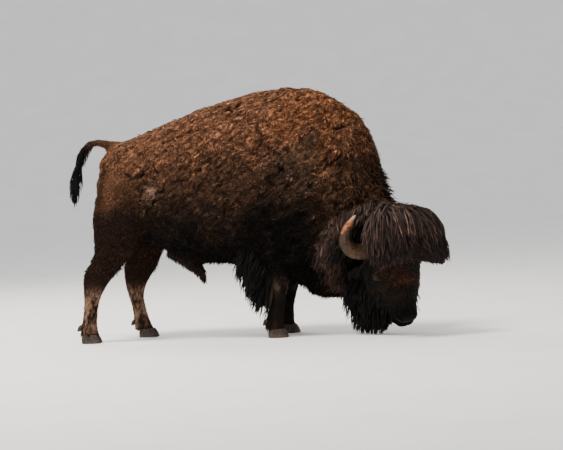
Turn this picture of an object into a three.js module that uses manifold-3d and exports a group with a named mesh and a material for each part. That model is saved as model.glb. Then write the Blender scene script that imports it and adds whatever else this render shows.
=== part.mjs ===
// A grazing plains bison bull, life size, as a still model.
// Millimetres, +X forward, +Y to its left, +Z up.
// Every outline is the outline of the coat. The head is turned to the bull's right and hangs to the ground.
import * as THREE from "three";
import { mergeVertices } from "three/addons/utils/BufferGeometryUtils.js";
import Module from "manifold-3d";

const wasm = await Module();
wasm.setup();

// ---------------------------------------------------------------- driving dimensions

const GAP = 0.5; // clearance left round a piece that is let into another
const CUT = 0.6; // thickness of the thin cuts that part the head and the body
const FACET_TOLERANCE = 0.3; // facets flatter than this are merged

const EYE_RADIUS = 22;
const EYE_SIDE = 162; // from the head's middle plane to an eye's centre
const EYE_FORWARD = 6;
const EYE_HOLLOW_RADIUS = 30;
const EYE_HOLLOW_OUT = 37;

const MUZZLE_TOP = -268; // where the bare muzzle begins, along the head from the eyes
const MOUTH_AT = new THREE.Vector3(34, 0, -360); // the mouth's slanting plane, in the head's own frame
const MOUTH_NORMAL = new THREE.Vector3(-0.82, 0, -0.57).normalize();

const HEAD_AT = new THREE.Vector3(1211, -300, 433); // midway between the eyes
const HEAD_YAW = THREE.MathUtils.degToRad(-57); // turned to the right
const HEAD_PITCH = THREE.MathUtils.degToRad(-1); // the nose a little forward of plumb
const HEAD_ROLL = THREE.MathUtils.degToRad(10); // the left eye a little higher
const NECK_TURN = THREE.MathUtils.degToRad(-38); // how far the neck has turned where it meets the head

const NECK_CUT_AT = new THREE.Vector3(600, 0, 1000); // where the neck is parted from the trunk
const NECK_CUT_NORMAL = new THREE.Vector3(1, 0, -0.12).normalize();

const LEFT_HORN_END = 22; // radius of the left horn's worn end
const LEFT_HORN_WEAR = 0.25; // how much of its next stretch it has lost besides the tip

const BEARD_HEADING = THREE.MathUtils.degToRad(-30);

const BODY_LEAN = THREE.MathUtils.degToRad(2.5); // the trunk's own level tips forward by this much
const BODY_DROP = 24.5; // and stands this much lower

const HIND_TRACK = 195; // from the middle plane to a hind foot
const FORE_TRACK = 185;
const CORONET = 62; // height of the hoof's upper edge
const CLAW_HALF_WIDTH = 29;
const CLAW_SPACING = 31; // from the middle of a foot to the middle of a claw
const DEWCLAW_HEIGHT = 100;
const DEWCLAW_BACK = 66; // from the fetlock's middle
const DEWCLAW_SPACING = 24;
const CHAP_SETBACK = 20; // how far the hair behind a foreleg stands back of the leg's middle

const COATS = {
  wool: { color: 0x5a3a26, roughness: 0.95 },
  dark_hair: { color: 0x241a16, roughness: 0.9 },
  leg_hair: { color: 0x3a2a20, roughness: 0.92 },
  horn: { color: 0x6b5138, roughness: 0.5 },
  hoof: { color: 0x2b2622, roughness: 0.6 },
  eye: { color: 0x120c08, roughness: 0.08 },
  bare_skin: { color: 0x2a2523, roughness: 0.45 },
};

// ---------------------------------------------------------------- lofting

/** Every field of a list of stations, interpolated smoothly at a place along their field `at`. */
function blended(stations, at) {
  const last = stations.length - 1;
  let i = 0;
  while (i < last - 1 && at > stations[i + 1].at) i++;
  const a = stations[i];
  const b = stations[i + 1];
  const span = b.at - a.at;
  const t = (at - a.at) / span;
  const slope = (j, key) => {
    const before = stations[Math.max(j - 1, 0)];
    const after = stations[Math.min(j + 1, last)];
    return (span * (after[key] - before[key])) / (after.at - before.at);
  };
  const mixed = {};
  for (const key of Object.keys(a)) {
    const rise = b[key] - a[key];
    const [s0, s1] = [slope(i, key), slope(i + 1, key)];
    mixed[key] = a[key] + t * (s0 + t * (3 * rise - 2 * s0 - s1 + t * (s0 + s1 - 2 * rise)));
  }
  return mixed;
}

/** Places along a list of stations, `between` of them in each interval. */
function placesAlong(stations, between) {
  const places = [stations[0].at];
  for (let i = 1; i < stations.length; i++)
    for (let k = 1; k <= between; k++)
      places.push(THREE.MathUtils.lerp(stations[i - 1].at, stations[i].at, k / between));
  return places;
}

/** Closed outline of two half superellipses, `up` above and `down` below the widest level. */
function outline({ half, up, down, upPower = 2, downPower = 2 }, sides) {
  return Array.from({ length: sides }, (_, k) => {
    const angle = (2 * Math.PI * k) / sides;
    const [c, s] = [Math.cos(angle), Math.sin(angle)];
    const power = 2 / (s >= 0 ? upPower : downPower);
    const across = half * Math.sign(c) * Math.abs(c) ** power;
    return new THREE.Vector2(across, (s >= 0 ? up : down) * Math.sign(s) * Math.abs(s) ** power);
  });
}

/** An outline set in space by its centre and the directions of its width and height. */
function ringOf(shape, sides, centre, across, above) {
  return outline(shape, sides).map((p) =>
    centre.clone().addScaledVector(across, p.x).addScaledVector(above, p.y),
  );
}

/** A ring moved outwards from its own middle. */
function grownRing(ring, by) {
  const middle = middleOf(ring);
  return ring.map((p) => p.clone().add(p.clone().sub(middle).setLength(by)));
}

function middleOf(points) {
  return points.reduce((sum, p) => sum.add(p), new THREE.Vector3()).divideScalar(points.length);
}

/** The closed surface through a row of rings, its ends closed by fans. `grow` makes it larger all round. */
function loft(rings, grow = 0) {
  const row = grow ? rings.map((ring) => grownRing(ring, grow)) : rings;
  const [first, last] = [middleOf(row[0]), middleOf(row.at(-1))];
  first.add(first.clone().sub(middleOf(row[1])).setLength(grow));
  last.add(last.clone().sub(middleOf(row.at(-2))).setLength(grow));
  const sides = row[0].length;
  const points = [...row.flat(), first, last];
  const [firstIndex, lastIndex] = [points.length - 2, points.length - 1];
  const faces = [];
  for (let k = 0; k < sides; k++) {
    const next = (k + 1) % sides;
    faces.push(firstIndex, next, k);
    faces.push(lastIndex, (row.length - 1) * sides + k, (row.length - 1) * sides + next);
    for (let r = 0; r < row.length - 1; r++) {
      const [a, b] = [r * sides + k, r * sides + next];
      faces.push(a, b, b + sides, a, b + sides, a + sides);
    }
  }
  const geometry = new THREE.BufferGeometry().setFromPoints(points);
  geometry.setIndex(faces);
  return geometry;
}

// ---------------------------------------------------------------- solids

/** A manifold-3d solid of a closed geometry, whichever way its faces are wound. */
function solidOf(geometry) {
  geometry.deleteAttribute("normal");
  geometry.deleteAttribute("uv");
  const merged = mergeVertices(geometry, 1e-3);
  const triVerts = new Uint32Array(merged.index.array);
  const build = () =>
    new wasm.Manifold(
      new wasm.Mesh({ numProp: 3, vertProperties: merged.attributes.position.array, triVerts }),
    );
  const made = build();
  if (made.volume() > 0) return made;
  for (let i = 0; i < triVerts.length; i += 3)
    [triVerts[i], triVerts[i + 1]] = [triVerts[i + 1], triVerts[i]];
  return build();
}

const lofted = (rings, grow = 0) => solidOf(loft(rings, grow));
const moved = (solid, matrix) => solid.transform(matrix.toArray());
const joined = (...solids) => solids.reduce((whole, s) => whole.add(s));
const carved = (solid, ...cutters) => largest(cutters.reduce((left, c) => left.subtract(c), solid));

/** The largest separate body of a solid: slivers that a cut left behind are dropped. */
function largest(solid) {
  return solid.decompose().sort((a, b) => b.volume() - a.volume())[0];
}

/** The two halves of a solid on either side of a plane, a thin cut apart. */
function parted(solid, normal, point) {
  const offset = normal.dot(point);
  const ahead = solid.trimByPlane(normal.toArray(), offset + CUT / 2);
  const behind = solid.trimByPlane(normal.clone().negate().toArray(), -offset + CUT / 2);
  return [largest(ahead), largest(behind)];
}

function meshOf(name, solid, coat) {
  const made = solid.simplify(FACET_TOLERANCE).getMesh();
  const positions = new Float32Array(made.numVert * 3);
  for (let i = 0; i < made.numVert; i++)
    positions.set(made.vertProperties.subarray(i * made.numProp, i * made.numProp + 3), i * 3);
  const geometry = new THREE.BufferGeometry();
  geometry.setAttribute("position", new THREE.BufferAttribute(positions, 3));
  geometry.setIndex(new THREE.BufferAttribute(made.triVerts, 1));
  geometry.computeVertexNormals();
  const mesh = new THREE.Mesh(geometry, new THREE.MeshStandardMaterial(COATS[coat]));
  mesh.name = name;
  return mesh;
}

// ---------------------------------------------------------------- trunk and neck

const X = new THREE.Vector3(1, 0, 0);
const Y = new THREE.Vector3(0, 1, 0);
const Z = new THREE.Vector3(0, 0, 1);

/** Rings of the trunk, from the rump to the front of the hump: a narrow ridge over a deep chest. */
function trunkRings() {
  const stations = [
    { at: -952, top: 1180, widest: 1060, bottom: 930, half: 64, upPower: 2, downPower: 2 },
    { at: -920, top: 1284, widest: 1050, bottom: 820, half: 140, upPower: 2, downPower: 2 },
    { at: -800, top: 1388, widest: 1040, bottom: 735, half: 218, upPower: 1.95, downPower: 2 },
    { at: -640, top: 1454, widest: 1030, bottom: 680, half: 272, upPower: 1.9, downPower: 2.1 },
    { at: -440, top: 1540, widest: 1000, bottom: 622, half: 305, upPower: 1.8, downPower: 2.2 },
    { at: -190, top: 1643, widest: 950, bottom: 542, half: 352, upPower: 1.72, downPower: 2.3 },
    { at: 60, top: 1722, widest: 940, bottom: 545, half: 372, upPower: 1.66, downPower: 2.3 },
    { at: 300, top: 1774, widest: 960, bottom: 490, half: 358, upPower: 1.62, downPower: 2.2 },
    { at: 480, top: 1782, widest: 980, bottom: 410, half: 330, upPower: 1.62, downPower: 2.1 },
    { at: 660, top: 1750, widest: 980, bottom: 370, half: 292, upPower: 1.66, downPower: 2 },
    { at: 800, top: 1652, widest: 960, bottom: 420, half: 230, upPower: 1.8, downPower: 2 },
    { at: 880, top: 1450, widest: 940, bottom: 600, half: 140, upPower: 2, downPower: 2 },
  ];
  return placesAlong(stations, 2).map((x) => {
    const s = blended(stations, x);
    const shape = { ...s, up: s.top - s.widest, down: s.widest - s.bottom };
    return ringOf(shape, 24, new THREE.Vector3(x, 0, s.widest), Y, Z);
  });
}

/** Rings of the neck, each through a point of the crest and one of the throat, turning to the right. */
function neckRings() {
  const stations = [
    { at: 0, crestX: 560, crestY: 0, crestZ: 1735, throatX: 440, throatY: 0, throatZ: 440, half: 290 },
    { at: 1, crestX: 784, crestY: 0, crestZ: 1682, throatX: 560, throatY: -8, throatZ: 352, half: 282 },
    { at: 2, crestX: 926, crestY: -6, crestZ: 1556, throatX: 640, throatY: -30, throatZ: 318, half: 272 },
    { at: 3, crestX: 1010, crestY: -20, crestZ: 1388, throatX: 708, throatY: -55, throatZ: 306, half: 262 },
    { at: 4, crestX: 1052, crestY: -50, crestZ: 1210, throatX: 762, throatY: -85, throatZ: 312, half: 250 },
    { at: 5, crestX: 1092, crestY: -95, crestZ: 1080, throatX: 800, throatY: -110, throatZ: 326, half: 232 },
    { at: 6, crestX: 1134, crestY: -150, crestZ: 986, throatX: 845, throatY: -140, throatZ: 350, half: 200 },
  ];
  const heading = (at) => THREE.MathUtils.lerp(0, NECK_TURN, at / stations.at(-1).at);
  return placesAlong(stations, 2).map((at) => {
    const s = blended(stations, at);
    const crest = new THREE.Vector3(s.crestX, s.crestY, s.crestZ);
    const throat = new THREE.Vector3(s.throatX, s.throatY, s.throatZ);
    const above = crest.clone().sub(throat);
    const height = above.length();
    const centre = throat.clone().lerp(crest, 0.5);
    const across = Y.clone().applyAxisAngle(Z, heading(at));
    const shape = { half: s.half, up: height / 2, down: height / 2, upPower: 1.75, downPower: 1.8 };
    return ringOf(shape, 20, centre, across, above.normalize());
  });
}

// ---------------------------------------------------------------- head, in its own frame
// The head's frame is +X out of the forehead, +Y to its left and +Z up to the poll.
// Its origin is midway between the eyes.

const headFrame = new THREE.Group();
headFrame.position.copy(HEAD_AT);
headFrame.rotation.set(HEAD_ROLL, HEAD_PITCH, HEAD_YAW, "ZYX");
headFrame.updateMatrix();

/** A level ring in the head's frame: `front` and `back` are how far it reaches along +X. */
function headRing({ at, front, back, widest, half, frontPower, backPower }, sides) {
  const shape = { half, up: front - widest, down: widest - back, upPower: frontPower, downPower: backPower };
  return ringOf(shape, sides, new THREE.Vector3(widest, 0, at), Y, X);
}

/** Rings of the head from the muzzle's end up to the poll. */
function headRings() {
  const stations = [
    { at: -396, front: 8, back: -58, widest: -22, half: 46, frontPower: 2.2, backPower: 2.2 },
    { at: -384, front: 26, back: -84, widest: -24, half: 68, frontPower: 2.3, backPower: 2.2 },
    { at: -350, front: 42, back: -122, widest: -26, half: 86, frontPower: 2.4, backPower: 2.3 },
    { at: -305, front: 52, back: -160, widest: -32, half: 97, frontPower: 2.3, backPower: 2.4 },
    { at: -240, front: 63, back: -204, widest: -44, half: 121, frontPower: 2.2, backPower: 2.5 },
    { at: -160, front: 80, back: -248, widest: -46, half: 154, frontPower: 2.2, backPower: 2.6 },
    { at: -80, front: 96, back: -276, widest: -34, half: 179, frontPower: 2.3, backPower: 2.6 },
    { at: -30, front: 102, back: -286, widest: -14, half: 186, frontPower: 2.3, backPower: 2.4 },
    { at: 10, front: 110, back: -286, widest: -4, half: 188, frontPower: 2.3, backPower: 2.3 },
    { at: 60, front: 112, back: -274, widest: -30, half: 176, frontPower: 2.4, backPower: 2.2 },
    { at: 130, front: 106, back: -240, widest: -46, half: 154, frontPower: 2.5, backPower: 2.1 },
    { at: 200, front: 88, back: -186, widest: -42, half: 134, frontPower: 2.3, backPower: 2 },
    { at: 250, front: 40, back: -112, widest: -36, half: 72, frontPower: 2, backPower: 2 },
  ];
  return placesAlong(stations, 1).map((at) => headRing({ ...blended(stations, at), at }, 22));
}

/** Rings of the mop of long hair over the forehead, from the right side to the left. It hangs plumb. */
function mopRings() {
  const stations = [
    { at: -272, low: 215, top: 300, back: 138, front: 190 },
    { at: -252, low: 110, top: 372, back: 104, front: 238 },
    { at: -200, low: 68, top: 430, back: 66, front: 274 },
    { at: -120, low: 70, top: 480, back: 0, front: 296 },
    { at: 0, low: 56, top: 503, back: -140, front: 304 },
    { at: 120, low: 28, top: 456, back: -60, front: 300 },
    { at: 215, low: -14, top: 406, back: 40, front: 284 },
    { at: 285, low: -30, top: 336, back: 74, front: 254 },
    { at: 324, low: 24, top: 268, back: 108, front: 210 },
    { at: 338, low: 100, top: 196, back: 138, front: 174 },
  ];
  return placesAlong(stations, 1).map((y) => {
    const s = blended(stations, y);
    const middle = (s.low + s.top) / 2;
    const shape = { half: (s.front - s.back) / 2, up: s.top - middle, down: middle - s.low, downPower: 2.2 };
    return ringOf(shape, 15, new THREE.Vector3((s.front + s.back) / 2, y, middle), X, Z);
  });
}

/** Rings of the beard, which hangs plumb from the jaw and throat nearly to the ground. */
function beardRings() {
  const stations = [
    { at: 16, x: 1014, y: -175, half: 90, thick: 22 },
    { at: 40, x: 1014, y: -172, half: 146, thick: 46 },
    { at: 90, x: 1010, y: -168, half: 174, thick: 68 },
    { at: 170, x: 1000, y: -160, half: 186, thick: 88 },
    { at: 260, x: 982, y: -152, half: 192, thick: 104 },
    { at: 340, x: 966, y: -148, half: 182, thick: 112 },
    { at: 430, x: 952, y: -145, half: 140, thick: 100 },
  ];
  const along = X.clone().applyAxisAngle(Z, BEARD_HEADING);
  const across = Y.clone().applyAxisAngle(Z, BEARD_HEADING);
  return placesAlong(stations, 1).map((z) => {
    const { x, y, half, thick } = blended(stations, z);
    return ringOf({ half, up: thick, down: thick }, 14, new THREE.Vector3(x, y, z), along, across);
  });
}

/** Rings square to a path, with a radius for each point. `stretch` widens them across its plane. */
function taperedRings(points, radii, perPoint, sides, stretch = 1) {
  const curve = new THREE.CatmullRomCurve3(points, false, "centripetal");
  const steps = (points.length - 1) * perPoint;
  const frames = curve.computeFrenetFrames(steps, false);
  const sizes = radii.map((r, i) => ({ at: i, r }));
  return Array.from({ length: steps + 1 }, (_, i) => {
    const t = i / steps;
    const { r } = blended(sizes, t * (points.length - 1));
    const shape = { half: r * stretch, up: r, down: r };
    return ringOf(shape, sides, curve.getPoint(t), frames.binormals[i], frames.normals[i]);
  });
}

/** Rings of a horn, from the skull out, round and up, its tip turned in. side is +1 on the left. */
function hornRings(side) {
  const path = [
    [-40, 105, 186],
    [-46, 170, 186],
    [-50, 226, 194],
    [-50, 278, 222],
    [-44, 306, 276],
    [-34, 298, 336],
    [-24, 260, 396],
    [-16, 206, 444],
  ];
  const points = path.map(([x, y, z]) => new THREE.Vector3(x, side * y, z));
  const radii = [54, 56, 56, 53, 48, 39, 24, 5];
  if (side > 0) {
    const end = points.at(-2).clone().lerp(points.at(-3), LEFT_HORN_WEAR);
    points.splice(-2, 2, end);
    radii.splice(-2, 2, LEFT_HORN_END);
  }
  return taperedRings(points, radii, 2, 10);
}

/** Rings of an ear: a thick cupped leaf below and behind the horn. */
function earRings(side) {
  const root = new THREE.Vector3(-110, side * 130, 72);
  const tip = new THREE.Vector3(-200, side * 272, 36);
  const along = tip.clone().sub(root).normalize();
  const across = Z.clone().cross(along).cross(along).normalize();
  const outward = along.clone().cross(across).multiplyScalar(side);
  const stations = [
    { at: 0, half: 24, thick: 18 },
    { at: 0.3, half: 35, thick: 15 },
    { at: 0.6, half: 40, thick: 12 },
    { at: 0.85, half: 28, thick: 9 },
    { at: 1, half: 8, thick: 5 },
  ];
  const cup = 16;
  return placesAlong(stations, 1).map((at) => {
    const s = blended(stations, at);
    const centre = root.clone().lerp(tip, at);
    return outline({ half: s.half, up: s.thick, down: s.thick }, 10).map((p) => {
      const bent = p.y - cup * (p.x / s.half) ** 2 * at;
      return centre.clone().addScaledVector(across, p.x).addScaledVector(outward, bent);
    });
  });
}

/** A ball on an eye's line of sight, `outward` from the eye's centre. */
function ballAtEye(side, radius, outward = 0) {
  const gaze = new THREE.Vector3(0.6, side, -0.05).normalize();
  const centre = new THREE.Vector3(EYE_FORWARD, side * EYE_SIDE, 0).addScaledVector(gaze, outward);
  return solidOf(new THREE.IcosahedronGeometry(radius, 2).translate(centre.x, centre.y, centre.z));
}

/** What an eye takes out of the head: its own ball, and a round hollow that leaves it in view. */
function socketCutter(side) {
  return ballAtEye(side, EYE_RADIUS + GAP).add(ballAtEye(side, EYE_HOLLOW_RADIUS, EYE_HOLLOW_OUT));
}

// ---------------------------------------------------------------- legs

/** Rings of a leg at level sections: sizes by height, and where the middle of each lies. */
function legRings(sections, line, side, sides) {
  return placesAlong(sections, 1).map((z) => {
    const s = blended(sections, z);
    const { x, y } = blended(line, z);
    const middle = (s.fore - s.aft) / 2;
    const shape = { half: (s.fore + s.aft) / 2, up: s.half, down: s.half };
    return ringOf(shape, sides, new THREE.Vector3(x + middle, side * y, z), X, Y);
  });
}

const HIND_LOWER = [
  { at: CORONET + CUT, fore: 62, aft: 62, half: 56 },
  { at: 95, fore: 58, aft: 62, half: 51 },
  { at: 150, fore: 53, aft: 57, half: 44 },
  { at: 220, fore: 53, aft: 53, half: 40 },
  { at: 290, fore: 57, aft: 57, half: 42 },
  { at: 350, fore: 70, aft: 70, half: 48 },
  { at: 400, fore: 86, aft: 86, half: 56 },
  { at: 450, fore: 106, aft: 104, half: 64 },
];
const HIND_UPPER = [
  { at: 450 + CUT, fore: 106, aft: 104, half: 64 },
  { at: 500, fore: 126, aft: 124, half: 74 },
  { at: 560, fore: 132, aft: 132, half: 84 },
  { at: 640, fore: 142, aft: 140, half: 98 },
  { at: 740, fore: 172, aft: 168, half: 114 },
  { at: 860, fore: 190, aft: 190, half: 126 },
  { at: 1000, fore: 180, aft: 180, half: 122 },
  { at: 1120, fore: 140, aft: 140, half: 112 },
  { at: 1220, fore: 75, aft: 75, half: 60 },
];
const FORE_LOWER = [
  { at: CORONET + CUT, fore: 64, aft: 66, half: 59 },
  { at: 95, fore: 62, aft: 68, half: 56 },
  { at: 130, fore: 60, aft: 66, half: 52 },
  { at: 190, fore: 56, aft: 62, half: 46 },
  { at: 270, fore: 58, aft: 62, half: 46 },
  { at: 340, fore: 66, aft: 66, half: 54 },
  { at: 400, fore: 74, aft: 74, half: 62 },
  { at: 450, fore: 78, aft: 84, half: 68 },
];
const FORE_UPPER = [
  { at: 450 + CUT, fore: 78, aft: 84, half: 68 },
  { at: 520, fore: 94, aft: 108, half: 84 },
  { at: 600, fore: 122, aft: 140, half: 102 },
  { at: 690, fore: 140, aft: 160, half: 104 },
  { at: 800, fore: 120, aft: 140, half: 90 },
];

// Where each leg's middle lies, by height: x along the body and y out from the middle plane.
const LEGS = {
  hind_right: {
    side: -1,
    foot: { x: -962, y: HIND_TRACK },
    line: [
      { at: 0, x: -962, y: HIND_TRACK },
      { at: 100, x: -964, y: HIND_TRACK },
      { at: 220, x: -953, y: HIND_TRACK },
      { at: 350, x: -929, y: HIND_TRACK },
      { at: 480, x: -878, y: HIND_TRACK },
      { at: 600, x: -786, y: 205 },
      { at: 740, x: -742, y: 208 },
      { at: 1000, x: -715, y: 182 },
      { at: 1220, x: -705, y: 128 },
    ],
  },
  hind_left: {
    side: 1,
    foot: { x: -632, y: HIND_TRACK },
    line: [
      { at: 0, x: -632, y: HIND_TRACK },
      { at: 100, x: -662, y: HIND_TRACK },
      { at: 220, x: -690, y: HIND_TRACK },
      { at: 320, x: -708, y: HIND_TRACK },
      { at: 430, x: -692, y: HIND_TRACK },
      { at: 600, x: -634, y: 205 },
      { at: 740, x: -610, y: 208 },
      { at: 1000, x: -670, y: 182 },
      { at: 1220, x: -705, y: 128 },
    ],
  },
  fore_right: {
    side: -1,
    foot: { x: 358, y: FORE_TRACK },
    line: [
      { at: 0, x: 358, y: FORE_TRACK },
      { at: 100, x: 348, y: FORE_TRACK },
      { at: 190, x: 364, y: FORE_TRACK },
      { at: 340, x: 384, y: FORE_TRACK },
      { at: 430, x: 376, y: 190 },
      { at: 520, x: 350, y: 198 },
      { at: 700, x: 290, y: 214 },
      { at: 1000, x: 330, y: 215 },
      { at: 1280, x: 420, y: 170 },
    ],
  },
  fore_left: {
    side: 1,
    foot: { x: 392, y: FORE_TRACK },
    line: [
      { at: 0, x: 392, y: FORE_TRACK },
      { at: 100, x: 376, y: FORE_TRACK },
      { at: 190, x: 380, y: FORE_TRACK },
      { at: 340, x: 412, y: FORE_TRACK },
      { at: 430, x: 408, y: 190 },
      { at: 520, x: 372, y: 198 },
      { at: 700, x: 300, y: 214 },
      { at: 1000, x: 330, y: 215 },
      { at: 1280, x: 420, y: 170 },
    ],
  },
};

/** Rings of the long hair that hangs behind a foreleg's elbow and forearm. */
function chapRings({ side, line }) {
  const sections = [
    { at: 205, rear: 112, half: 26 },
    { at: 245, rear: 152, half: 50 },
    { at: 340, rear: 202, half: 74 },
    { at: 450, rear: 236, half: 92 },
    { at: 560, rear: 210, half: 100 },
    { at: 660, rear: 150, half: 92 },
  ];
  return placesAlong(sections, 1).map((z) => {
    const s = blended(sections, z);
    const { x, y } = blended(line, z);
    const shape = { half: s.rear / 2 + CHAP_SETBACK, up: s.half, down: s.half };
    return ringOf(shape, 10, new THREE.Vector3(x - s.rear / 2 - CHAP_SETBACK, side * y, z), X, Y);
  });
}

/** One claw of a cloven hoof, its sole on z 0 and its toe at +X; side is +1 for a foot's left claw. */
function clawSolid(side) {
  const stations = [
    { at: 0, toe: 80, heel: 58, half: CLAW_HALF_WIDTH },
    { at: 34, toe: 68, heel: 60, half: CLAW_HALF_WIDTH - 1 },
    { at: CORONET, toe: 50, heel: 54, half: CLAW_HALF_WIDTH - 3 },
  ];
  const outward = Y.clone().multiplyScalar(side);
  const rings = stations.map(({ at, toe, heel, half }) => {
    const middle = new THREE.Vector3((toe - heel) / 2, side * CLAW_SPACING, at);
    const shape = { half: (toe + heel) / 2, up: half, down: half, upPower: 2.2, downPower: 3.4 };
    return ringOf(shape, 12, middle, X, outward);
  });
  return lofted(rings);
}

/** Rings of a dewclaw: a blunt cone behind the fetlock, pointing down and back. */
function dewclawRings() {
  const points = [new THREE.Vector3(14, 0, 26), new THREE.Vector3(-4, 0, 8), new THREE.Vector3(-16, 0, -14)];
  return taperedRings(points, [15, 15, 7], 1, 6);
}

// ---------------------------------------------------------------- tail, sheath and scrotum

function tailRings() {
  const path = [
    [-735, 0, 1350],
    [-800, 0, 1372],
    [-846, 0, 1393],
    [-890, 2, 1404],
    [-942, 6, 1394],
    [-988, 10, 1354],
    [-1025, 14, 1290],
  ];
  const points = path.map((p) => new THREE.Vector3(...p));
  return taperedRings(points, [58, 40, 26, 22, 23, 25, 28], 1, 10);
}

function tailTuftRings() {
  const path = [
    [-1026, 14, 1286],
    [-1052, 18, 1226],
    [-1066, 20, 1130],
    [-1078, 20, 1050],
    [-1082, 18, 972],
  ];
  const points = path.map((p) => new THREE.Vector3(...p));
  return taperedRings(points, [28, 34, 42, 38, 10], 1, 10);
}

/** The sheath with its tuft of hair: a fold that leaves the belly and hangs forward. */
function sheathRings() {
  const path = [
    [-400, 0, 640],
    [-310, 0, 575],
    [-235, 0, 512],
    [-182, 0, 445],
    [-168, 0, 378],
  ];
  const points = path.map((p) => new THREE.Vector3(...p));
  return taperedRings(points, [70, 66, 54, 36, 12], 1, 12);
}

function scrotumRings() {
  const points = [
    new THREE.Vector3(-700, 0, 740),
    new THREE.Vector3(-704, 0, 680),
    new THREE.Vector3(-706, 0, 630),
    new THREE.Vector3(-706, 0, 596),
  ];
  return taperedRings(points, [44, 50, 50, 22], 1, 12, 0.9);
}

// ---------------------------------------------------------------- assembly

const bison = new THREE.Group();
const bodyFrame = new THREE.Group();
bodyFrame.position.z = -BODY_DROP;
bodyFrame.rotation.y = BODY_LEAN;
bodyFrame.updateMatrix();
bison.add(bodyFrame);
const add = (parent, name, solid, coat) => parent.add(meshOf(name, solid, coat));
const SIDES = { left: 1, right: -1 };

/** The head and all that it carries, in the head's own frame. */
function buildHead() {
  const head = headFrame;
  const sockets = Object.values(SIDES).map(socketCutter);
  const hornCutters = Object.values(SIDES).map((side) => lofted(hornRings(side), GAP));
  const skull = carved(lofted(headRings()), ...sockets, ...hornCutters);

  const [jaw, upper] = parted(skull, MOUTH_NORMAL, MOUTH_AT);
  const [face, muzzle] = parted(upper, Z, new THREE.Vector3(0, 0, MUZZLE_TOP));
  add(head, "head", face, "dark_hair");
  add(head, "muzzle", muzzle, "bare_skin");
  add(head, "jaw", jaw, "dark_hair");

  const wholeHead = lofted(headRings(), GAP);
  const ears = [];
  for (const [word, side] of Object.entries(SIDES)) {
    add(head, `horn_${word}`, lofted(hornRings(side)), "horn");
    add(head, `eye_${word}`, ballAtEye(side, EYE_RADIUS), "eye");
    ears.push(lofted(earRings(side), GAP));
    add(head, `ear_${word}`, carved(lofted(earRings(side)), wholeHead), "dark_hair");
  }

  const bodyToHead = headFrame.matrix.clone().invert().multiply(bodyFrame.matrix);
  const neckHere = moved(lofted(neckRings(), GAP), bodyToHead);
  add(head, "mop", carved(lofted(mopRings()), wholeHead, ...hornCutters, ...ears, neckHere), "dark_hair");
  return [wholeHead, ...ears, ...hornCutters].map((c) => moved(c, head.matrix));
}

/** The trunk with its hump, and the neck, parted by a slanting cut in front of the shoulder. */
function buildBody(headCutters) {
  const trunk = lofted(trunkRings());
  const neck = lofted(neckRings());
  const [front, rear] = parted(joined(trunk, neck), NECK_CUT_NORMAL, NECK_CUT_AT);
  const levelToBody = bodyFrame.matrix.clone().invert();
  const cutters = [...headCutters, lofted(beardRings(), GAP)].map((c) => moved(c, levelToBody));
  add(bodyFrame, "trunk", rear, "wool");
  add(bodyFrame, "neck", carved(front, ...cutters), "wool");
  return [lofted(trunkRings(), GAP), lofted(neckRings(), GAP)];
}

/** One leg: upper and lower parts, two claws and two dewclaws, and a foreleg's long hair. */
function buildLeg(name, leg, bodyCutters) {
  const limb = new THREE.Group();
  bison.add(limb);
  const fore = name.startsWith("fore");
  const [upperSizes, lowerSizes] = fore ? [FORE_UPPER, FORE_LOWER] : [HIND_UPPER, HIND_LOWER];
  const upper = legRings(upperSizes, leg.line, leg.side, 14);
  const lower = legRings(lowerSizes, leg.line, leg.side, 14);

  const foot = new THREE.Group();
  foot.position.set(leg.foot.x, leg.side * leg.foot.y, 0);
  foot.updateMatrix();
  limb.add(foot);
  const fetlock = blended(leg.line, DEWCLAW_HEIGHT).x - leg.foot.x;
  const dewclawCutters = Object.entries(SIDES).map(([word, sign]) => {
    add(foot, `${name}_claw_${word}`, clawSolid(sign), "hoof");
    const place = new THREE.Matrix4().makeTranslation(
      fetlock - DEWCLAW_BACK,
      sign * DEWCLAW_SPACING,
      DEWCLAW_HEIGHT,
    );
    add(foot, `${name}_dewclaw_${word}`, moved(lofted(dewclawRings()), place), "hoof");
    return moved(lofted(dewclawRings(), GAP), foot.matrix.clone().multiply(place));
  });

  const upperCoat = fore ? "wool" : "leg_hair";
  add(limb, `${name}_upper_leg`, carved(lofted(upper), ...bodyCutters), upperCoat);
  add(limb, `${name}_lower_leg`, carved(lofted(lower), ...bodyCutters, ...dewclawCutters), "leg_hair");
  if (!fore) return [lofted(upper, GAP)];
  const legCutters = [lofted(upper, GAP), lofted(lower, GAP)];
  add(limb, `${name}_chap`, carved(lofted(chapRings(leg)), ...legCutters, ...bodyCutters), "dark_hair");
  return [];
}

const headCutters = buildHead();
bison.add(headFrame);
const bodyCutters = buildBody(headCutters);
const bodyCuttersLevel = bodyCutters.map((c) => moved(c, bodyFrame.matrix));
const thighCutters = Object.entries(LEGS).flatMap(([name, leg]) => buildLeg(name, leg, bodyCuttersLevel));
add(bison, "beard", carved(lofted(beardRings()), ...headCutters), "dark_hair");
add(bison, "tail", carved(lofted(tailRings()), ...bodyCuttersLevel), "wool");
add(bison, "tail_tuft", lofted(tailTuftRings()), "dark_hair");
add(bison, "sheath", carved(lofted(sheathRings()), ...bodyCuttersLevel), "dark_hair");
add(bison, "scrotum", carved(lofted(scrotumRings()), ...bodyCuttersLevel, ...thighCutters), "leg_hair");

// The origin is on the ground, under the middle of the whole animal.
const box = new THREE.Box3().setFromObject(bison, true);
const ground = box.getCenter(new THREE.Vector3()).setZ(box.min.z);
bison.position.copy(ground).negate();

export default bison;
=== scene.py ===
import math

import bmesh
import bpy
import numpy as np
from mathutils import Matrix, Vector
from mathutils.bvhtree import BVHTree


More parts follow.
